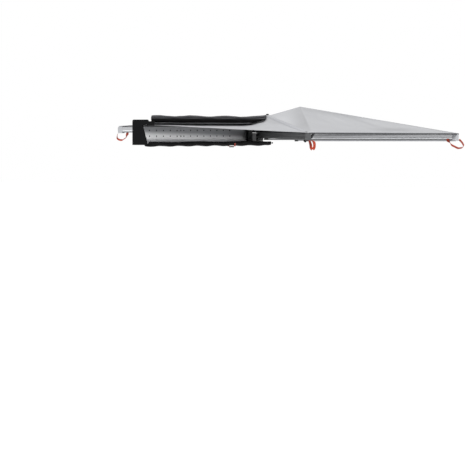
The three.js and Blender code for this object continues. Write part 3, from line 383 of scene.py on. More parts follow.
def webbing(name, color, dark=0.55):
    """Ribbed webbing: ribs across the strip, a denser selvedge along each side."""
    look = Look(name, color, 0.8, sheen=0.3)
    ribs = look.bands(look.along_strip((1 / (4 * MM), 1, 1)), 1.0, "X")
    rows = look.bands(look.along_strip((1, 3, 1)), 1.0, "Y")
    threads = look.math("MULTIPLY", ribs, look.spread(rows, 0.6, 1.0))
    wear = look.noise(look.place(), 60.0, 4)
    look.tint(look.math("MULTIPLY", threads, look.spread(wear, 0.7, 1.3)), dark, 1.15)
    look.bump(threads, 0.6, 0.5 * MM)
    return look.material


SILVER = (0.93, 0.94, 0.965)
CASE_SILVER = case_aluminium()
BEAM_SILVERS = [
    aluminium(f"{ARM_NAMES[i]}_aluminium", SILVER, math.radians(ARM_ANGLES[i] + 180),
              LEVELS[i] + BEAM_LIFTS[i])
    for i in (1, 2, 3)
]
TUBE_SILVER = aluminium("leg_aluminium", (0.28, 0.284, 0.30), math.radians(ARM_ANGLES[1]))
DARK_METAL = powder_coat("dark_powder_coat", (0.045, 0.0455, 0.047))
# Painted shade: the first arm's beam and rivets take this dark coat, a shaded copy of the other arms'
# silver; the hub guard has it as its own dark coat
DARK_COAT_AND_SHADE = powder_coat("arm_powder_coat", (0.040, 0.0405, 0.042))
STEEL = zinc("zinc_plated_steel", (0.55, 0.56, 0.58))
DARK_STEEL = zinc("blackened_steel", (0.06, 0.06, 0.065))
BLACK_PLASTIC = plastic("black_plastic", (0.0065, 0.0066, 0.007), 0.6, 0.04)
# Painted shade: a dark copy of the caps' grey plastic, for the first arm's cap
SHADED_CAP_PLASTIC = plastic("dark_grey_plastic", (0.09, 0.091, 0.094), 0.5)
GREY_PLASTIC = plastic("grey_plastic", (0.43, 0.437, 0.453), 0.5)
NYLON = plastic("nylon", (0.72, 0.72, 0.68), 0.5)
RUBBER = rubber("rubber", (0.016, 0.016, 0.018))
CANOPY_CLOTH = cloth("canopy_cloth", (0.55, 0.553, 0.568), 0.9 * MM, 0.8, 0.06)
HEM_CLOTH = cloth("hem_cloth", (0.53, 0.535, 0.555), 0.7 * MM, 0.8, 0.04)
BINDING = cloth("binding_cloth", (0.10, 0.102, 0.107), 0.6 * MM, 0.8, 0.03)
COVER_CLOTH = cloth("cover_cloth", (0.0055, 0.0055, 0.0058), 1.1 * MM, 0.6, 0.0, (0.7, 1.4), 0.03)
UPPER_COVER = painted_sheen_cloth("upper_cover_cloth", (0.0055, 0.0055, 0.0058), 0.129, 0.139, 20.0)
# Painted shade: the sleeve's near-black stands in for the shadow under the cloth's edge
SLEEVE_SHADE_CLOTH = cloth("sleeve_cloth", (0.028, 0.028, 0.0285), 0.8 * MM, 0.8, 0.0)
ORANGE = webbing("orange_webbing", (0.62, 0.058, 0.014), 0.35)
BLACK_STRAP = webbing("black_webbing", (0.02, 0.02, 0.023))
THREAD = webbing("sewing_thread", (0.46, 0.465, 0.48))

NODE_LOOKS = [
    (CASE_SILVER, ["back_plate"]),
    (DARK_METAL, ["top_rail", "hub_bottom_plate", "hub_top_plate", "hub_spine", "apex_post"]
     + [f"rack_bracket_{end}" for end in BRACKET_ENDS]
     + [f"{name}_knuckle" for name in ARM_NAMES]),
    (STEEL, ["hub_pin", "leg_pivot_pin"]),
    (DARK_STEEL, [f"bracket_bolt_{end}_{row}" for end in BRACKET_ENDS
                  for row in ("upper", "lower")]),
    (BLACK_PLASTIC, ["front_end_wall", "anchor_knob_front", "anchor_knob_rear", "arm_1_buckle",
                     "leg_clip", "leg_lock_collar", "boom_collar", "boom_head",
                     "cinch_buckle", "zip_slider"]),
    (GREY_PLASTIC, [f"{name}_end_cap" for name in ARM_NAMES[1:]]),
    # Painted shade: the first arm's cap in the dark copy of the grey plastic
    (SHADED_CAP_PLASTIC, ["arm_1_end_cap"]),
    (NYLON, [f"hub_washer_{i}" for i in range(1, 6)]),
    (RUBBER, ["leg_foot"]),
    (TUBE_SILVER, ["leg_outer_tube", "leg_inner_tube", "boom_tube"]),
    # Painted shade: the first arm's beam in the dark coat
    (DARK_COAT_AND_SHADE, ["arm_1_beam"]),
    *[(look, [f"{name}_beam"]) for look, name in zip(BEAM_SILVERS, ARM_NAMES[1:])],
]
EDGE_ROUNDING = 0.8 * MM
EDGE_ANGLE = math.radians(35)
SMOOTH_ANGLE = math.radians(40)


def dress_nodes():
    """Every carried-over CAD node gets its finish, and all but the long extrusion rounded edges."""
    for look, names in NODE_LOOKS:
        for name in names:
            node = NODES[name]
            node.data.materials.clear()
            node.data.materials.append(look)
            if name == "back_plate":
                continue
            with_settings(node.modifiers.new("weld", "WELD"), merge_threshold=0.01 * MM)
            with_settings(node.modifiers.new("edges", "BEVEL"), width=EDGE_ROUNDING, segments=2,
                          limit_method="ANGLE", angle_limit=EDGE_ANGLE, harden_normals=True)


# Mesh helpers


def in_scene(name, data):
    made = bpy.data.objects.new(name, data)
    bpy.context.scene.collection.objects.link(made)
    return made


def linked(name, mesh, material, smooth=True):
    """A mesh as an object in the scene."""
    mesh.materials.append(material)
    if smooth:
        mesh.shade_smooth()
        mesh.set_sharp_from_angle(angle=SMOOTH_ANGLE)
    return in_scene(name, mesh)


def mesh_object(name, points, faces, material, smooth=True):
    mesh = bpy.data.meshes.new(name)
    mesh.from_pydata([tuple(p) for p in points], [], faces)
    mesh.validate()
    return linked(name, mesh, material, smooth)


def object_of(name, work, material):
    """A bmesh as an object, its normals facing out."""
    bmesh.ops.recalc_face_normals(work, faces=work.faces)
    mesh = bpy.data.meshes.new(name)
    work.to_mesh(mesh)
    work.free()
    return linked(name, mesh, material)


def grid_faces(rows, columns):
    """The faces of a grid of places that are listed row by row."""
    starts = [i * columns + k for i in range(rows - 1) for k in range(columns - 1)]
    return [(a, a + 1, a + columns + 1, a + columns) for a in starts]


def face_up(piece):
    if sum(p.normal.z * p.area for p in piece.data.polygons) < 0:
        piece.data.flip_normals()


def thicken(piece, thickness, offset=-1.0):
    """Gives a sheet its thickness, made part of its mesh."""
    with_settings(piece.modifiers.new("thickness", "SOLIDIFY"), thickness=thickness,
                  offset=offset, use_even_offset=False)
    bpy.context.view_layer.update()
    evaluated = piece.evaluated_get(bpy.context.evaluated_depsgraph_get())
    mesh = bpy.data.meshes.new_from_object(evaluated)
    piece.modifiers.clear()
    piece.data = mesh
    return piece


def stands_for(nodes):
    """The piece takes the place of some nodes: they are hidden."""
    if nodes:
        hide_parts(*nodes)


def place(piece, body, slot, *nodes):
    """The piece rides on a body."""
    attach(piece, body)
    stands_for(nodes)


def arm_matrix(i):
    turn = Matrix.Rotation(math.radians(ARM_ANGLES[i] + 180), 4, "Z")
    droop = Matrix.Rotation(math.atan(BEAM_DROOPS[i] / ARM_REACH), 4, "Y")
    return Matrix.Translation((HUB.x, HUB.y, LEVELS[i] + BEAM_LIFTS[i])) @ turn @ droop


def on_arm(i, along, aside=0.0, up=0.0):
    return arm_matrix(i) @ Vector((along, aside, up))


def frame_along(at, axis):
    """A matrix whose Z runs along an axis at a place."""
    z = Vector(axis).normalized()
    x = UP.cross(z)
    if x.length < 0.01:
        x = Vector((1, 0, 0))
    x.normalize()
    return Matrix.Translation(at) @ Matrix((x, z.cross(x), z)).transposed().to_4x4()


def add_turned(work, profile, matrix, sides=20):
    """A turned shape: a profile of radius and height round the matrix's Z."""
    rings = []
    for radius, height in profile:
        angles = [2 * math.pi * k / sides for k in range(sides if radius else 1)]
        places = [Vector((radius * math.cos(a), radius * math.sin(a), height)) for a in angles]
        rings.append([work.verts.new(matrix @ p) for p in places])
    for low, high in zip(rings, rings[1:]):
        for k in range(sides):
            after = (k + 1) % sides
            corners = [low[k % len(low)], low[after % len(low)],
                       high[after % len(high)], high[k % len(high)]]
            unique = list(dict.fromkeys(corners))
            if len(unique) > 2:
                work.faces.new(unique)


def smooth_path(points, steps):
    """A Catmull-Rom path through a few points."""
    places = [Vector(p) for p in points]
    padded = [places[0] * 2 - places[1], *places, places[-1] * 2 - places[-2]]
    path = []
    spans = len(places) - 1
    for k in range(steps + 1):
        at = k / steps * spans
        i = min(int(at), spans - 1)
        t = at - i
        a, b, c, d = padded[i : i + 4]
        path.append(0.5 * (2 * b + (c - a) * t + (2 * a - 5 * b + 4 * c - d) * t * t
                           + (3 * b - a - 3 * c + d) * t * t * t))
    return path


def strip(name, path, axes, width, thickness, material, rounding=0.35):
    """Webbing carried along a path: its section has soft selvedges. Its width runs along the axes,
    or along one axis."""
    if isinstance(axes, Vector):
        axes = [axes] * len(path)
    half_w, half_t = width / 2, thickness / 2
    edge = thickness * rounding
    under = [(-half_w, -edge), (-half_w + edge, -half_t), (0, -half_t * 0.92),
             (half_w - edge, -half_t), (half_w, -edge)]
    section = under + [(w, -t) for w, t in reversed(under)]
    count = len(section)
    points, shares, run = [], [], 0.0
    for i, (at, axis) in enumerate(zip(path, axes)):
        before = path[max(i - 1, 0)]
        along = (path[min(i + 1, len(path) - 1)] - before).normalized()
        thick = Vector(axis).normalized().cross(along).normalized()
        across = along.cross(thick).normalized()
        if i:
            run += (at - before).length
        for w, t in section:
            points.append(at + across * w + thick * t)
            shares.append((run, w / width + 0.5))
    last = (len(path) - 1) * count
    around = [(k, (k + 1) % count) for k in range(count)]
    faces = [(row + k, row + after, row + count + after, row + count + k)
             for row in range(0, last, count) for k, after in around]
    faces += [tuple(reversed(range(count))), tuple(range(last, last + count))]
    made = mesh_object(name, points, faces, material)
    layer = made.data.uv_layers.new(name="strip")
    for loop in made.data.loops:
        layer.data[loop.index].uv = shares[loop.vertex_index]
    work = bmesh.new()
    work.from_mesh(made.data)
    bmesh.ops.recalc_face_normals(work, faces=work.faces)
    work.to_mesh(made.data)
    work.free()
    return made


STITCH_RADIUS = 0.45 * MM
STITCH_LENGTH = 3.4 * MM
STITCH_GAP = 1.6 * MM


def stitches(name, lines):
    """Rows of separate stitches along paths, each a small lens that stands on the cloth."""
    radii = [0.0, STITCH_RADIUS, STITCH_RADIUS, 0.0]
    profile = list(zip(radii, [STITCH_LENGTH * share for share in (0, 0.2, 0.8, 1)]))
    work = bmesh.new()
    for path in lines:
        wait = 0.0
        for a, b in zip(path, path[1:]):
            span = (b - a).length
            if span < 1e-9:
                continue
            along = (b - a) / span
            while wait + STITCH_LENGTH <= span:
                add_turned(work, profile, frame_along(a + along * wait, along), 5)
                wait += STITCH_LENGTH + STITCH_GAP
            wait = max(wait - span, 0.0)
    return object_of(name, work, THREAD)


# Canopy


def arc_angle(p):
    """The angle round the hub, in degrees, counted as the arms' angles are."""
    return (math.degrees(math.atan2(p.y - HUB.y, p.x - HUB.x)) - 180) % 360


def toward(target, side):
    """The cloth's corner on the apex ring, towards a place, beside the seam."""
    heading = Vector((target.x - APEX.x, target.y - APEX.y, 0)).normalized()
    aside = Vector((-heading.y, heading.x, 0)) * side * SEAM_GAP
    return Vector((APEX.x, APEX.y, APEX_CAP + APEX_GAP + CLOTH)) + heading * APEX_RING + aside


def tip(i, side):
    return on_arm(i, ARM_REACH, LANES[i] + side * SEAM_GAP, CLOTH_RISE)


def peak(side):
    at = on_arm(1, PEAK_FROM_HUB, side * SEAM_GAP)
    return Vector((at.x, at.y, PEAK_HEIGHT))


def pull_of(a, b):
    middle = (a + b) / 2
    inward = Vector((APEX.x - middle.x, APEX.y - middle.y, 0))
    return inward.normalized() * HEM_PULL


def patch(corners, sag=0.0, free=None):
    """A four-cornered patch of cloth. It sags, and its last row is pulled in where it is free."""
    a, b, c, d = (np.array(p) for p in corners)
    places = np.linspace(0, 1, PANEL_STEPS + 1)
    v, u = np.meshgrid(places, places, indexing="ij")
    v, u = v[..., None], u[..., None]
    left = a + (d - a) * v
    right = b + (c - b) * v
    at = left + (right - left) * u
    hollow = np.sin(math.pi * u)
    if free:
        at = at + np.array(pull_of(*free)) * hollow * v * v
    return at - np.array((0, 0, 1)) * sag * hollow * np.sin(math.pi * v)


RAIL_END = Vector((RAIL_REAR, RAIL_Y, RAIL_Z))
RAIL_START = Vector((RAIL_FRONT, RAIL_Y, RAIL_Z))
TIP_1A, TIP_1B = tip(0, -1), tip(0, 1)
TIP_2A, TIP_2B = tip(1, -1), tip(1, 1)
TIP_3A, TIP_3B = tip(2, -1), tip(2, 1)
TIP_4 = tip(3, -1)

# Each panel's patches: corners, then a sag and the two ends of a free edge where there are any.
PANELS = [
    [
        ((EAVES, EAVES, toward(RAIL_END, 1), toward(TIP_1A, -1)),),
        ((EAVES, EAVES, RAIL_END, toward(RAIL_END, 1)),),
        ((EAVES, EAVES, toward(TIP_1A, -1), TIP_1A), SAG / 2),
        ((EAVES, EAVES, TIP_1A, RAIL_END), SAG / 2),
        ((RAIL_END, RAIL_END, TIP_1A, RAIL_START), SAG, (TIP_1A, RAIL_START)),
    ],
    [
        ((toward(TIP_1B, 1), toward(peak(-1), -1), peak(-1), TIP_1B), SAG),
        ((peak(-1), peak(-1), TIP_2A, TIP_1B), SAG, (TIP_1B, TIP_2A)),
    ],
    [
        ((toward(peak(1), 1), toward(TIP_3A, -1), TIP_3A, peak(1)), SAG),
        ((peak(1), peak(1), TIP_3A, TIP_2B), SAG, (TIP_2B, TIP_3A)),
    ],
    [
        ((toward(TIP_3B, 1), toward(TIP_4, -1), TIP_4, TIP_3B), SAG, (TIP_3B, TIP_4)),
    ],
]
SMOOTHING = [14, 6, 6, 6]

# Soft bands across the cloth: the x and y of both ends, then height in millimetres and width.
# Where the cloth is drawn down between the hub and the eaves, inside a rim:
HOLLOW_RIM = 30 * MM
HOLLOWS = [[(0.78, -0.185, 0.905, -0.125, -17, 0.045)], [], [], []]
# Folds pulled into the cloth:
FOLDS = [
    [
        (0.86, -0.2, -0.2, -1.2, 3, 0.02), (0.84, -0.2, 0, -0.95, -4, 0.03),
        (0.83, -0.19, -0.1, -0.7, 3.5, 0.022), (0.8, -0.18, -0.3, -0.6, -3, 0.03),
        (0.7, -0.1, -0.45, -0.3, 2.5, 0.025), (-0.8, -0.06, -0.4, -1.2, 2, 0.03),
    ],
    [
        (0.8, -0.42, 1.36, -1.06, 11, 0.11), (0.92, -0.3, -0.1, -1.08, 9, 0.1),
        (1.05, -0.45, 0.3, -1.35, -6, 0.045), (1.1, -0.55, 0.7, -1.35, 5.5, 0.04),
        (1.15, -0.6, 1.15, -1.45, -5.5, 0.045), (1.3, -1.2, 1.62, -1.52, 4, 0.022),
        (1.15, -1.1, 1.55, -1.5, -3, 0.02), (0.1, -1.28, -0.25, -1.34, 3, 0.022),
    ],
    [
        (1.1, -0.45, 2.1, -0.5, -4, 0.04), (1.15, -0.4, 2.3, 0, 3.5, 0.035),
        (1.3, -0.8, 1.9, -1, 3, 0.03), (2.2, 0, 2.5, 0.18, 3.5, 0.02),
    ],
    [
        (1, -0.05, 2.1, 0.6, -4, 0.04), (0.98, 0, 1.6, 1.2, 3.5, 0.04),
        (1.1, 1.3, 1.2, 1.55, 3, 0.02),
    ],
]
# Zones of painted shade and painted light on the cloth, with an amount in place of the height, then
# the width and the side. The side is 1 left of the line, -1 right of it and 0 on both sides.
PAINTED_ZONES = [
    [
        (0.3, -0.45, -0.25, -1.05, 0.1, 0.12, 0), (0.84, -0.22, 0.4, -0.62, -0.16, 0.05, 0),
    ],
    [
        (0.88, -0.46, 1.36, -0.97, -0.5, 0.15, 0), (1.09, -0.36, -0.4, -1.427, -0.55, 0.11, -1),
        (0.8, -0.24, 0.1, -0.9, 0.4, 0.11, 0), (1.14, -0.84, 0.97, -1.3, -0.22, 0.04, 0),
        (1.24, -0.9, 1.08, -1.32, 0.1, 0.04, 0), (0.74, -1.32, 1.36, -1.39, -0.5, 0.07, 0),
        (-0.18, -1.32, -0.36, -1.4, 0.4, 0.06, 0),
    ],
    [],
    [],
]
FOLD_RIM = 0.12
RIPPLE_HEIGHT = 4.0 * MM
RIPPLES_PER_METRE = 3.2
RELAXING = 0.55


def weld_patches(patches):
    """Patches that share edges as one list of points and faces."""
    known, points, faces = {}, [], []
    for grid in patches:
        rows, columns = grid.shape[:2]
        at = {}
        for i, j in np.ndindex(rows, columns):
            key = tuple(round(c * 20000) for c in grid[i, j])
            at[i, j] = known.setdefault(key, len(points))
            if at[i, j] == len(points):
                points.append(grid[i, j])
        for i, j in np.ndindex(rows - 1, columns - 1):
            corners = (at[i, j], at[i, j + 1], at[i + 1, j + 1], at[i + 1, j])
            unique = tuple(dict.fromkeys(corners))
            if len(unique) > 2:
                faces.append(unique)
    return np.array(points), faces


def relax(points, faces, rounds):
    """Smooths a surface inside its fixed rim. Also says which points are on the rim."""
    edges = [sorted(edge) for face in faces for edge in zip(face, face[1:] + face[:1])]
    pairs, times = np.unique(edges, axis=0, return_counts=True)
    rim = np.zeros(len(points), bool)
    rim[pairs[times == 1]] = True
    for _ in range(rounds):
        total = np.zeros_like(points)
        degree = np.zeros(len(points))
        for a, b in ((0, 1), (1, 0)):
            np.add.at(total, pairs[:, a], points[pairs[:, b]])
            np.add.at(degree, pairs[:, a], 1)
        mean = total / degree[:, None]
        points = np.where(rim[:, None], points, points * (1 - RELAXING) + mean * RELAXING)
    return points, rim


def rim_distance(points, rim):
    """Each point's distance to the rim, seen from above."""
    edge = points[rim][:, :2]
    return np.array([np.sqrt(((edge - p) ** 2).sum(-1)).min() for p in points[:, :2]])


def band(points, x, y, end_x, end_y, width):
    """1 along a line, fading towards its ends and to its sides."""
    start, along = np.array((x, y)), np.array((end_x - x, end_y - y))
    share = ((points[:, :2] - start) @ along) / (along @ along)
    near = start + np.clip(share, 0, 1)[:, None] * along
    gap = np.sqrt(((points[:, :2] - near) ** 2).sum(1))
    fade = np.sin(math.pi * np.clip(share * 0.9 + 0.05, 0, 1))
    return fade * np.exp(-((gap / width) ** 2))


def fold_height(points, folds):
    rise = np.zeros(len(points))
    for *line, height, width in folds:
        rise += height * MM * band(points, *line, width)
    return rise


def painted_level(points, zones):
    """The painted shade and painted light on the cloth at each point, below zero darker and above it
    lighter.
    """
    level = np.zeros(len(points))
    for x, y, end_x, end_y, amount, width, side in zones:
        aside = (end_x - x) * (points[:, 1] - y) - (end_y - y) * (points[:, 0] - x)
        level += amount * band(points, x, y, end_x, end_y, width) * (aside * side >= 0)
    return level


def panel_surface(i):
    points, faces = weld_patches([patch(*one) for one in PANELS[i]])
    points, rim = relax(points, faces, SMOOTHING[i])
    gap = rim_distance(points, rim)
    points[:, 2] += fold_height(points, HOLLOWS[i]) * np.clip(gap / HOLLOW_RIM, 0, 1)
    inside = np.clip(gap / FOLD_RIM, 0, 1)
    inside = inside * inside * (3 - 2 * inside)
    where = points[:, :2] * RIPPLES_PER_METRE
    ripples = np.array([noise.fractal(Vector((*p, i * 5.0)), 0.6, 2.1, 4) for p in where])
    points[:, 2] += (ripples * RIPPLE_HEIGHT + fold_height(points, FOLDS[i])) * inside
    return points, faces


# The first panel starts at the case, so near the hub it stays with the case, and places past this
# angle lie behind the hub.
BEHIND_HUB = 150
NEAR_HUB = 0.1
HUB_FADE = 0.4


def fan(piece, i, *nodes):
    """The piece is stretched between two arms, or between the case and the first arm. It opens like
    a fan: its points go with the arms by their angles."""
    before = ARM_NAMES[i - 1] if i else "case"
    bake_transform(piece, before, ARM_NAMES[i], tuple(HUB), tuple(on_arm(i, ARM_REACH)))
    stands_for(nodes)
    first = ARM_ANGLES[i - 1] if i else 0.0
    weights = piece.data.attributes["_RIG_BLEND"].data
    for vertex in piece.data.vertices:
        p = vertex.co
        angle = arc_angle(p)
        if i == 0 and angle >= BEHIND_HUB:
            angle = 0.0
        share = clamp((angle - first) / (ARM_ANGLES[i] - first))
        if i == 0:
            share *= clamp((math.hypot(p.x - HUB.x, p.y - HUB.y) - NEAR_HUB) / HUB_FADE)
        weights[vertex.index].value = share


PANEL_FLAT = [(1.36, 1.80), (1.50, 2.10), (1.72, 1.86), (1.71, 1.81)]


def canopy():
    """The four panels. Gives their surfaces back."""
    made = []
    for i, (width, length) in enumerate(PANEL_FLAT):
        points, faces = panel_surface(i)
        panel = mesh_object(f"canopy_{i + 1}", points, faces, CANOPY_CLOTH)
        face_up(panel)
        # Painted shade and painted light for the panel's cloth
        tension = panel.data.attributes.new(PAINTED_SHADING_ATTRIBUTE, "FLOAT", "POINT")
        tension.data.foreach_set("value", painted_level(points, PAINTED_ZONES[i]))
        thicken(panel, CLOTH)
        fan(panel, i, f"canopy_panel_{i + 1}")
        made.append(BVHTree.FromPolygons([Vector(p) for p in points], faces))
    return made


def straight(a, b, steps):
    """Places along a line, its two ends with them."""
    return [a.lerp(b, k / steps) for k in range(steps + 1)]


def flat_axes(path):
    """The level direction across a path, for a strip that lies on it."""
    axes = []
    for i in range(len(path)):
        along = path[min(i + 1, len(path) - 1)] - path[max(i - 1, 0)]
        axes.append(UP.cross(along).normalized())
    return axes


def hem_path(a, b):
    """The free edge of a panel, as its last row runs."""
    pull = pull_of(a, b)
    return [p + pull * math.sin(math.pi * k / PANEL_STEPS)
            for k, p in enumerate(straight(a, b, PANEL_STEPS))]


ABOVE_CANOPY = 0.6
NEAR_PATH = 30 * MM
BAND_STEPS = 6
BAND_LIFT = 0.3 * MM
BAND_THICKNESS = 0.4 * MM
STITCH_LIFT = 0.9 * MM


def cloth_height(surfaces, x, y, fallback):
    """The canopy's height at a place, or the fallback where it isn't near that."""
    hits = [surface.ray_cast(Vector((x, y, ABOVE_CANOPY)), -UP)[0]
            for surface in surfaces]
    best = max((hit.z for hit in hits if hit), default=fallback)
    return fallback if abs(best - fallback) > NEAR_PATH else best


def on_cloth(surfaces, at, shift, lift):
    """A place on the canopy, shifted from another."""
    p = at + shift
    p.z = cloth_height(surfaces, p.x, p.y, at.z) + lift
    return p


def draped(name, path, offsets, surfaces):
    """A band that lies on the canopy along a path, between two offsets from it."""
    asides = np.linspace(*offsets, BAND_STEPS + 1)
    points = [on_cloth(surfaces, at, axis * aside, BAND_LIFT)
              for at, axis in zip(path, flat_axes(path)) for aside in asides]
    made = mesh_object(name, points, grid_faces(len(path), BAND_STEPS + 1), HEM_CLOTH)
    face_up(made)
    return thicken(made, BAND_THICKNESS, 1.0)


def stitch_row(path, aside, surfaces):
    """A row of places on the canopy beside a path."""
    return [on_cloth(surfaces, at, axis * aside, STITCH_LIFT)
            for at, axis in zip(path, flat_axes(path))]


def seams_and_hems(surfaces):
    # Seam tapes over the arms, each with two rows of stitching
    half = TAPE_WIDTH / 2
    ends = [(TIP_1A + TIP_1B) / 2, (TIP_2A + TIP_2B) / 2, (TIP_3A + TIP_3B) / 2, TIP_4]
    crown = (peak(-1) + peak(1)) / 2
    starts = [toward(TIP_1A, 0), crown, toward(TIP_3A, 0), toward(TIP_4, 0)]
    for i, (start, end) in enumerate(zip(starts, ends)):
        path = straight(start, end, SEAM_STEPS)
        tape = draped(f"seam_tape_{i + 1}", path, (-half, half), surfaces)
        place(tape, ARM_NAMES[i], "canopy_cloth")
        rows = [stitch_row(path, side * half * 0.8, surfaces) for side in (-1, 1)]
        thread = stitches(f"seam_stitches_{i + 1}", rows)
        place(thread, ARM_NAMES[i], "canopy_cloth")
    # Over the boom, between the apex and the peak
    path = straight(toward(crown, 0), crown, SEAM_STEPS)
    tape = draped("seam_tape_boom", path, (-half, half), surfaces)
    place(tape, "arm_2", "canopy_cloth")
    # Hems along the free edges
    free = [(TIP_1A, RAIL_START), (TIP_1B, TIP_2A), (TIP_2B, TIP_3A), (TIP_3B, TIP_4)]
    for i, (a, b) in enumerate(free):
        path = hem_path(a, b)
        middle = len(path) // 2
        inward = -1 if flat_axes(path)[middle].dot(path[middle] - APEX) > 0 else 1
        fan(draped(f"hem_{i + 1}", path, (0.0, inward * HEM_WIDTH), surfaces), i)
        rows = [stitch_row(path, inward * HEM_WIDTH * share, surfaces) for share in (0.15, 0.85)]
        fan(stitches(f"hem_stitches_{i + 1}", rows), i)
    # Dark bindings that drop from the free edges between the arms
    drop = UP * (HEM_DROP / 2 - MM)
    for i, (a, b) in enumerate(free[1:], start=1):
        path = hem_path(a, b)
        out = [Vector((p.x - APEX.x, p.y - APEX.y, 0)).normalized() for p in path]
        path = [p + n * 0.8 * MM - drop for p, n in zip(path, out)]
        fan(strip(f"binding_{i + 1}", path, UP, HEM_DROP, 1.2 * MM, BINDING), i)


# Cover flaps

FLAP_START = CASE_FRONT + 48 * MM
LOWER_START = FLAP_START - 38 * MM
FLAP_THICKNESS = 1.1 * MM
FLAP_END_ROUNDING = 14 * MM
FLAP_END_STEPS = 6
FLAP_COLUMNS = 180
UPPER_END = 0.893
UPPER_TAIL = 0.215
TAIL_LIFT_FROM = 0.66
CLOTH_CLEAR = 3 * MM
LOWER_END = 0.922
UPPER_SECTION = in_metres([
    (-7.5, 91.5), (-25, 92.5), (-50, 96), (-78, 111), (-98, 130), (-118, 149), (-134, 156),
    (-150, 155), (-159, 146), (-155, 137), (-159, 133), (-166, 125), (-164, 116), (-154, 109),
    (-140, 107.5), (-124, 110), (-116, 116.5), (-122, 127), (-134, 133), (-145, 127), (-143, 120),
    (-134, 119),
])
LINING_SECTION = in_metres([
    (-27.5, 88.5), (-60, 90.5), (-90, 92.5), (-120, 95), (-148, 97),
])
LINING_START = FLAP_START + 6 * MM
LINING_END = 0.706
LINING_COLUMNS = 60
LINING_STEPS = 12
LINING_CLEAR = 2 * MM
LOWER_SECTION = in_metres([
    (-165.5, -77), (-167.2, -69), (-170, -63), (-174.5, -62.5), (-177, -70), (-177.5, -83),
    (-172, -94), (-156, -99), (-136, -99), (-120, -96), (-115, -88.5), (-123, -82), (-140, -81.5),
    (-154, -85), (-160, -90), (-145, -93.5), (-130, -90),
])


def wave_at(x, waves, phase):
    return math.sin(2 * math.pi * (waves * x / CASE_LENGTH + phase))


def pinched(path, fixed, share):
    """A section whose rolled part is drawn towards its middle."""
    rolled = path[fixed:]
    middle = np.mean(rolled, axis=0)
    return path[:fixed] + [tuple(middle + (np.array(p) - middle) * share) for p in rolled]


def bunched(name, node, path_at, start, end, steps, fixed, look, cloth_below=None,
            slant=lambda x, y, z: x):
    """A thin sheet whose section changes along the case. Its bunched ends are drawn together."""
    reach = FLAP_END_ROUNDING
    ends = [reach * (1 - math.cos(math.pi / 2 * k / FLAP_END_STEPS)) for k in range(FLAP_END_STEPS)]
    inner = np.linspace(start + reach, end - reach, FLAP_COLUMNS)
    places = [start + d for d in ends] + list(inner) + [end - d for d in reversed(ends)]
    points = []
    for x in places:
        near = min(x - start, end - x)
        share = math.sqrt(max(1 - (1 - min(near / reach, 1)) ** 2, 0.02))
        path = pinched(path_at(x), fixed, share)
        for p in smooth_path([(slant(x, y, z), y, z) for y, z in path], steps):
            if cloth_below:
                hit = cloth_below.ray_cast(Vector((p.x, p.y, 0.4)), -UP)[0]
                if hit:
                    p.z = max(p.z, hit.z + CLOTH_CLEAR)
            points.append(p)
    sheet = mesh_object(name, points, grid_faces(len(places), steps + 1), look)
    thicken(sheet, FLAP_THICKNESS, 0.0)
    place(sheet, "case", "cover_cloth", node)
    return sheet


def upper_path(x):
    """The section near a place along the case. It rises and narrows towards the hub."""
    t = clamp((x - (UPPER_END - UPPER_TAIL)) / UPPER_TAIL)
    rise = 0.8 * clamp((x - TAIL_LIFT_FROM) / (UPPER_END - TAIL_LIFT_FROM)) ** 2
    drawn_in = max(0.0, x - 0.84) * 0.5
    path = []
    for k, (y, z) in enumerate(UPPER_SECTION):
        loose = min(k / 6, 1) * (1 - t)
        wave = 4 * MM * wave_at(x, 3.69, 0.79) * max(0, (z - 0.1) / 0.056) * loose
        small = 1.6 * MM * noise.noise(Vector((x * 14, k * 0.55, 3.0))) * loose
        side = max(0.0, 1 - abs(z - 0.1285) / 0.03) * (1 if y < -0.145 else 0.3)
        bulge = 3 * MM * wave_at(x, 7.4, 0) * loose * side
        y_here = y + (min(y, -0.0583) - y) * t - bulge + small
        z_end = 0.160 + 0.005 * clamp((z - 0.099) / 0.059)
        z_here = z + (z_end - z) * rise + wave + small
        path.append((y_here + (drawn_in if y_here < -0.14 else 0.0), z_here))
    return path


def slanted(x, y, z):
    """The upper flap's front end is cut on a slant, so its inner layers start further back."""
    fade = clamp((FLAP_START + 0.32 - x) / 0.32)
    return x + max(0.0, y + 0.163) * 1.45 * fade * clamp((z - 0.094) / 0.01)


def lower_path(x):
    path = []
    for k, (y, z) in enumerate(LOWER_SECTION):
        rolled = min(k / 3, 1)
        down = clamp((-0.0715 - z) / 0.0275)
        wave = 3.5 * MM * wave_at(x, 7, 0) * rolled * (1 if k < 8 else 0.5) * down
        if 0 < k < 5:
            wave += 2.5 * MM * wave_at(x, 2.6, 0.55)
        bulge = 3.0 * MM * wave_at(x, 7, 0.33) * (1 if 1 < k < 5 else 0)
        small = 1.2 * MM * noise.noise(Vector((x * 17, k * 0.6, 9.0))) * rolled
        path.append((y - bulge / 2 + small, z + wave + small / 2))
    return path


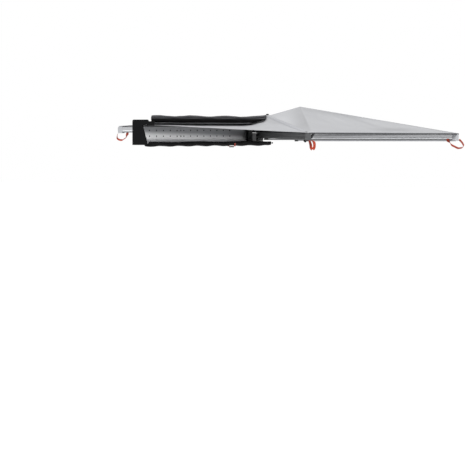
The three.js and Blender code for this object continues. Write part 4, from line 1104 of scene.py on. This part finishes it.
def flaps(panel):
    """The two cover flaps, and the pale lining between the upper one and the canopy."""
    sheet = bunched("upper_cover", "upper_flap", upper_path, FLAP_START, UPPER_END, 90, 6,
                    UPPER_COVER, panel, slanted)
    sheet = bunched("lower_cover", "lower_flap", lower_path, LOWER_START, LOWER_END, 72, 2,
                    COVER_CLOTH)
    points = []
    for x in np.linspace(LINING_START, LINING_END, LINING_COLUMNS + 1):
        for p in smooth_path([(x, y, z) for y, z in LINING_SECTION], LINING_STEPS):
            p.z += 0.8 * MM * noise.noise(Vector((x * 9, p.y * 30, 1.0)))
            p.z = max(p.z, cloth_height([panel], p.x, p.y, p.z) + LINING_CLEAR)
            points.append(p)
    faces = grid_faces(LINING_COLUMNS + 1, LINING_STEPS + 1)
    lining = mesh_object("flap_lining", points, faces, CANOPY_CLOTH)
    thicken(lining, 0.8 * MM, 0.0)
    place(lining, "case", "canopy_cloth")


# Webbing

LOOP_START, LOOP_REACH, LOOP_DROP, LOOP_ASIDE = 110 * MM, 155 * MM, 72 * MM, 36 * MM
LEDGE_PROUD = 1.8 * MM
LOOP_GAP = 0.3 * MM
LOOP_TURN = 12
LOOP_STEPS = 44
# The hanging part: shares of its way outward and upward.
LOOP_CURVE = [
    (0, 0), (0.5, 0), (1, 0), (1.35, 0.12), (1.68, 0.3), (1.85, 0.55), (1.62, 0.78), (1.3, 0.93),
    (1, 1),
]
# The first arm's loop, from the arm's end and in millimetres, with the x and y of its width's way.
FIRST_LOOP = [
    (-84, -1.4, -40, 1, 0), (-82, -1.6, -54, 1, 0.1), (-76, 8, -72, 0.8, 0.6),
    (-68, 13, -95, 0.75, 0.66), (-60, 13, -115, 0.75, 0.66), (-50, 18, -127, 0.7, 0.7),
    (-40, 25, -129, 0.7, 0.7), (-31, 31, -119, 0.7, 0.7), (-27, 34, -99, 0.7, 0.7),
    (-30, 32, -77, 0.7, 0.7), (-37, 20, -62, 0.9, 0.4), (-43, 2, -55, 1, 0.1),
    (-43, -1.6, -40, 1, 0),
]
FIRST_STEPS = 6


def hang(i, path, axes):
    """A loop along a path in its arm's frame."""
    matrix, name = arm_matrix(i), ARM_NAMES[i]
    turn = matrix.to_3x3()
    made = strip(f"{name}_webbing_loop", [matrix @ p for p in path], [turn @ a for a in axes],
                 WEBBING_WIDTH, WEBBING, ORANGE)
    place(made, name, "orange_webbing", f"{name}_loop")
    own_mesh(made)


def first_loop():
    """The first arm's loop is turned towards its side: two strands with a gap between them."""
    spans = len(FIRST_LOOP) - 1
    end = Vector((ARM_REACH, 0, 0))
    path = smooth_path([end + Vector(row[:3]) * MM for row in FIRST_LOOP], FIRST_STEPS * spans)
    ways = [Vector((*row[3:], 0)) for row in FIRST_LOOP]
    axes = [ways[i].lerp(ways[i + 1], k / FIRST_STEPS)
            for i in range(spans) for k in range(FIRST_STEPS)]
    hang(0, path, axes + ways[-1:])


def loop(i):
    """Webbing flat on the beam's side, then turned, then hanging back up to the cap."""
    towards = -math.copysign(1, LANES[i])
    face = BEAM_WIDTH / 2 + LEDGE_PROUD + LOOP_GAP + WEBBING / 2

    def at(along, beside, down, start=0.0):
        aside = LANES[i] + towards * (start + (LOOP_ASIDE - start) * beside)
        return Vector((ARM_REACH - LOOP_START + along * LOOP_REACH, aside,
                       -BEAM_HEIGHT - down * LOOP_DROP))

    top, bottom = at(0.1, 0, -0.17, face), at(0.1, 0, 0.06, face)
    first, second, last = at(0.32, 1, 0.62), at(0.66, 1, 0.98), at(0.735, 0, -0.06)
    outward, upward = second - first, last - second
    standing = straight(top, bottom, 6)
    falling = straight(bottom, first, LOOP_TURN)[1:-1]
    hanging = smooth_path([first + outward * a + upward * b for a, b in LOOP_CURVE], LOOP_STEPS)
    across = Vector((1, 0, 0))
    normal = outward.cross(upward).normalized()
    if normal.y < 0:
        normal.negate()
    tilted = normal - UP * 0.35
    axes = [across] * len(standing) + straight(across, tilted, LOOP_TURN)[1:-1]
    for k in range(LOOP_STEPS + 1):
        share = k / LOOP_STEPS
        axes.append(normal - Vector((0.35 * share, 0, 0.35 - 0.2 * share)))
    hang(i, standing + falling + hanging, axes)


CORNER_STRAP = [(1, 1, 0), (0.85, 0.75, 0.25), (0.6, 0.25, 0.6), (0.42, 0.04, 0.82), (0.3, 0.02, 1)]
CORNER_STRAP_WIDTH = 30 * MM
CORNER_STRAP_REACH = 45 * MM
CINCH_BEND = 7 * MM


def straps():
    # Corner strap at the first arm's tip, by shares of its reach, the cap's width and the beam
    matrix = arm_matrix(0)
    side = LANES[0] + CAP_WIDTH / 2 + 0.5 * MM + WEBBING / 2
    points = [Vector((ARM_REACH - a * CORNER_STRAP_REACH, side + b * CAP_WIDTH,
                      CAP_ABOVE - WEBBING - c * BEAM_HEIGHT)) for a, b, c in CORNER_STRAP]
    path = [matrix @ p for p in smooth_path(points, 24)]
    turn = matrix.to_3x3()
    axes = [turn @ Vector((1, 0.9 * math.sin(math.pi * k / 24), 0)) for k in range(25)]
    made = strip("corner_webbing", path, axes, CORNER_STRAP_WIDTH, WEBBING, BLACK_STRAP)
    place(made, "arm_1", "black_webbing", "arm_1_corner_strap")
    # Cinch strap round the bunched lower flap
    low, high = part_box("cinch_strap")
    inner, outer = high.y - WEBBING / 2, low.y + WEBBING / 2
    bottom = low.z + WEBBING / 2
    corners = [(inner, high.z), (inner, low.z + CINCH_BEND)]
    for centre, quarter in ((inner - CINCH_BEND, 0), (outer + CINCH_BEND, 1)):
        for k in range(1 - quarter, 9):
            angle = -math.pi / 2 * (quarter + k / 8)
            corners.append((centre + CINCH_BEND * math.cos(angle),
                            bottom + CINCH_BEND * (1 + math.sin(angle))))
    corners.append((outer, high.z))
    path = [Vector(((low.x + high.x) / 2, y, z)) for y, z in corners]
    made = strip("cinch_webbing", path, Vector((1, 0, 0)), WEBBING_WIDTH, WEBBING, ORANGE)
    place(made, "case", "orange_webbing", "cinch_strap")


# Added hardware

RIVETS_ALONG = (370, 650, 930, 1210, 1490)
RIVET_DOWN = 34 * MM
RIVET_OUT = 0.9 * MM
RIVET_TILT = 0.15
RIVET_RADIUS = 4.2 * MM
RIVET_HEIGHT = 2.2 * MM
SLEEVE_START = 90 * MM
SLEEVE_END = ARM_REACH - CAP_LENGTH - 2 * MM
SLEEVE_HEIGHT = 14 * MM
SLEEVE_THICKNESS = 5 * MM
SLEEVE_COLUMNS = 60
GUARD = [(0.812, -0.0138, -0.0625), (0.926, -0.0118, 0.0115)]
# Places of the fixing holes that hold no bracket bolt
FREE_HOLES = [i * 0.1 for i in range(-9, 6) if i not in (-6, 0, 5)] + [-0.245]
HOLE_ROWS = [33 * MM, -16 * MM]
PLATE_FACE = PLATE_BACK - 2.5 * MM
PLUG = in_metres([(0, -1.8), (3.6, -1.8), (3.9, 0.2), (6.2, 0.2), (5.6, 1.3), (0, 1.5)])


def rivets():
    """Domed rivets along both sides of each beam."""
    rim = RIVET_HEIGHT / 4
    dome = [math.pi / 2 * k / 5 for k in range(5)]
    head = [(0, -rim), (RIVET_RADIUS, -rim)]
    head += [(RIVET_RADIUS * math.cos(a), rim + 3 * rim * math.sin(a)) for a in dome]
    head.append((0, RIVET_HEIGHT))
    for i, name in enumerate(ARM_NAMES):
        work, matrix = bmesh.new(), arm_matrix(i)
        for along in RIVETS_ALONG:
            for aside in (-1, 1):
                out = LANES[i] + aside * (BEAM_WIDTH / 2 + RIVET_OUT)
                at = matrix @ Vector((along * MM, out, -RIVET_DOWN))
                axis = matrix.to_3x3() @ Vector((0, aside, RIVET_TILT))
                add_turned(work, head, frame_along(at, axis), 14)
        # Painted shade: the first arm's rivets in the dark coat, the others in steel
        made = object_of(f"{name}_rivets", work, STEEL if i else DARK_COAT_AND_SHADE)
        place(made, name, "steel")


def sleeve():
    """The dark sleeve that fills the space between the first beam and the cloth's edge. Its dark colour is
    painted shade, the shadow line under the cloth's edge.
    """
    matrix = arm_matrix(0)
    path = []
    for along in np.linspace(SLEEVE_START, SLEEVE_END, SLEEVE_COLUMNS + 1):
        ripple = 0.6 * MM * noise.noise(Vector((along * 8, 0, 4)))
        path.append(matrix @ Vector((along, LANES[0] + ripple, SLEEVE_HEIGHT / 2 + 0.4 * MM)))
    made = strip("beam_sleeve", path, UP, SLEEVE_HEIGHT, SLEEVE_THICKNESS, SLEEVE_SHADE_CLOTH, 0.45)
    place(made, "arm_1", "black_webbing")
    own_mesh(made)


def guard():
    """A thin guard behind the hub, between the case's end and the lower arms."""
    work = bmesh.new()
    low, high = Vector(GUARD[0]), Vector(GUARD[1])
    bmesh.ops.create_cube(work, size=1.0)
    for vertex in work.verts:
        vertex.co = Vector(low[k] + (vertex.co[k] + 0.5) * (high[k] - low[k]) for k in range(3))
    corners = [e for e in work.edges if abs(e.verts[0].co.y - e.verts[1].co.y) > MM / 2]
    bmesh.ops.bevel(work, geom=corners, offset=6 * MM, segments=4, profile=0.5, affect="EDGES")
    place(object_of("hub_guard", work, DARK_COAT_AND_SHADE), "case", "dark_metal")


def plugs():
    """Blanking plugs in the back plate's free fixing holes. Their black is painted shade: it stands in for
    the dark seen through the holes.
    """
    work = bmesh.new()
    for x in FREE_HOLES:
        for z in HOLE_ROWS:
            at = Matrix.Translation((x, PLATE_FACE, z)) @ Matrix.Rotation(math.pi / 2, 4, "X")
            add_turned(work, PLUG, at)
    place(object_of("hole_plugs", work, BLACK_PLASTIC), "case", "black_plastic")


# Stage


def seen_directly(tree):
    """1 for what the camera sees itself, in metal or through glass, and 0 for light on the part."""
    rays = add_node(tree, "LightPath").outputs
    seen = rays["Is Camera Ray"]
    for kind in ("Is Glossy Ray", "Is Transmission Ray"):
        seen = add_node(tree, "Math", {0: seen, 1: rays[kind]}, operation="MAXIMUM").outputs[0]
    return seen


def floor_material():
    look = Look("floor", (0.8, 0.8, 0.8), 0.9)
    look.shader.inputs["Emission Color"].default_value = (1, 1, 1, 1)
    strength = look.math("MULTIPLY", seen_directly(look.tree), FLOOR_GLOW)
    look.tree.links.new(strength, look.shader.inputs["Emission Strength"])
    return look.material


def stage():
    scene = bpy.context.scene
    camera = with_settings(bpy.data.cameras.new("photo_camera"), sensor_width=SENSOR,
                           lens=FOCAL_PIXELS / IMAGE_PIXELS * SENSOR, clip_end=200)
    scene.camera = in_scene("photo_camera", camera)
    forward = CAMERA_HEADING * math.cos(CAMERA_PITCH) - UP * math.sin(CAMERA_PITCH)
    right = forward.cross(UP).normalized()
    turn = Matrix((right, right.cross(forward), -forward)).transposed().to_4x4()
    scene.camera.matrix_world = Matrix.Translation(CAMERA_PLACE) @ turn
    scene.view_settings.view_transform = "Standard"

    # White behind the part and in its reflections, a soft grey sky for the light it gives
    scene.world = with_settings(bpy.data.worlds.new("studio"), use_nodes=True)
    tree = scene.world.node_tree
    light = add_node(tree, "Background", {0: (0.98, 0.99, 1.0, 1), 1: SKY}).outputs[0]
    white = add_node(tree, "Background", {0: (1, 1, 1, 1), 1: 1.0}).outputs[0]
    both = add_node(tree, "MixShader", {0: seen_directly(tree), 1: light, 2: white}).outputs[0]
    tree.links.new(both, tree.nodes["World Output"].inputs[0])

    # A large soft light above and to the left of the camera
    sun = with_settings(bpy.data.lights.new("key", "SUN"), energy=SUN, angle=SUN_ANGLE)
    lamp = in_scene("key", sun)
    lamp.rotation_euler = SUN_WAY.to_track_quat("-Z", "Y").to_euler()

    corners = [(-1, -1), (1, -1), (1, 1), (-1, 1)]
    points = [(x * FLOOR_HALF, y * FLOOR_HALF, -FLOOR_BELOW) for x, y in corners]
    mesh_object("floor", points, [(0, 1, 2, 3)], floor_material(), smooth=False)


dress_nodes()
surfaces = canopy()
seams_and_hems(surfaces)
flaps(surfaces[0])
first_loop()
for number in range(1, 4):
    loop(number)
straps()
rivets()
sleeve()
guard()
plugs()
stage()

bpy.context.view_layer.update()
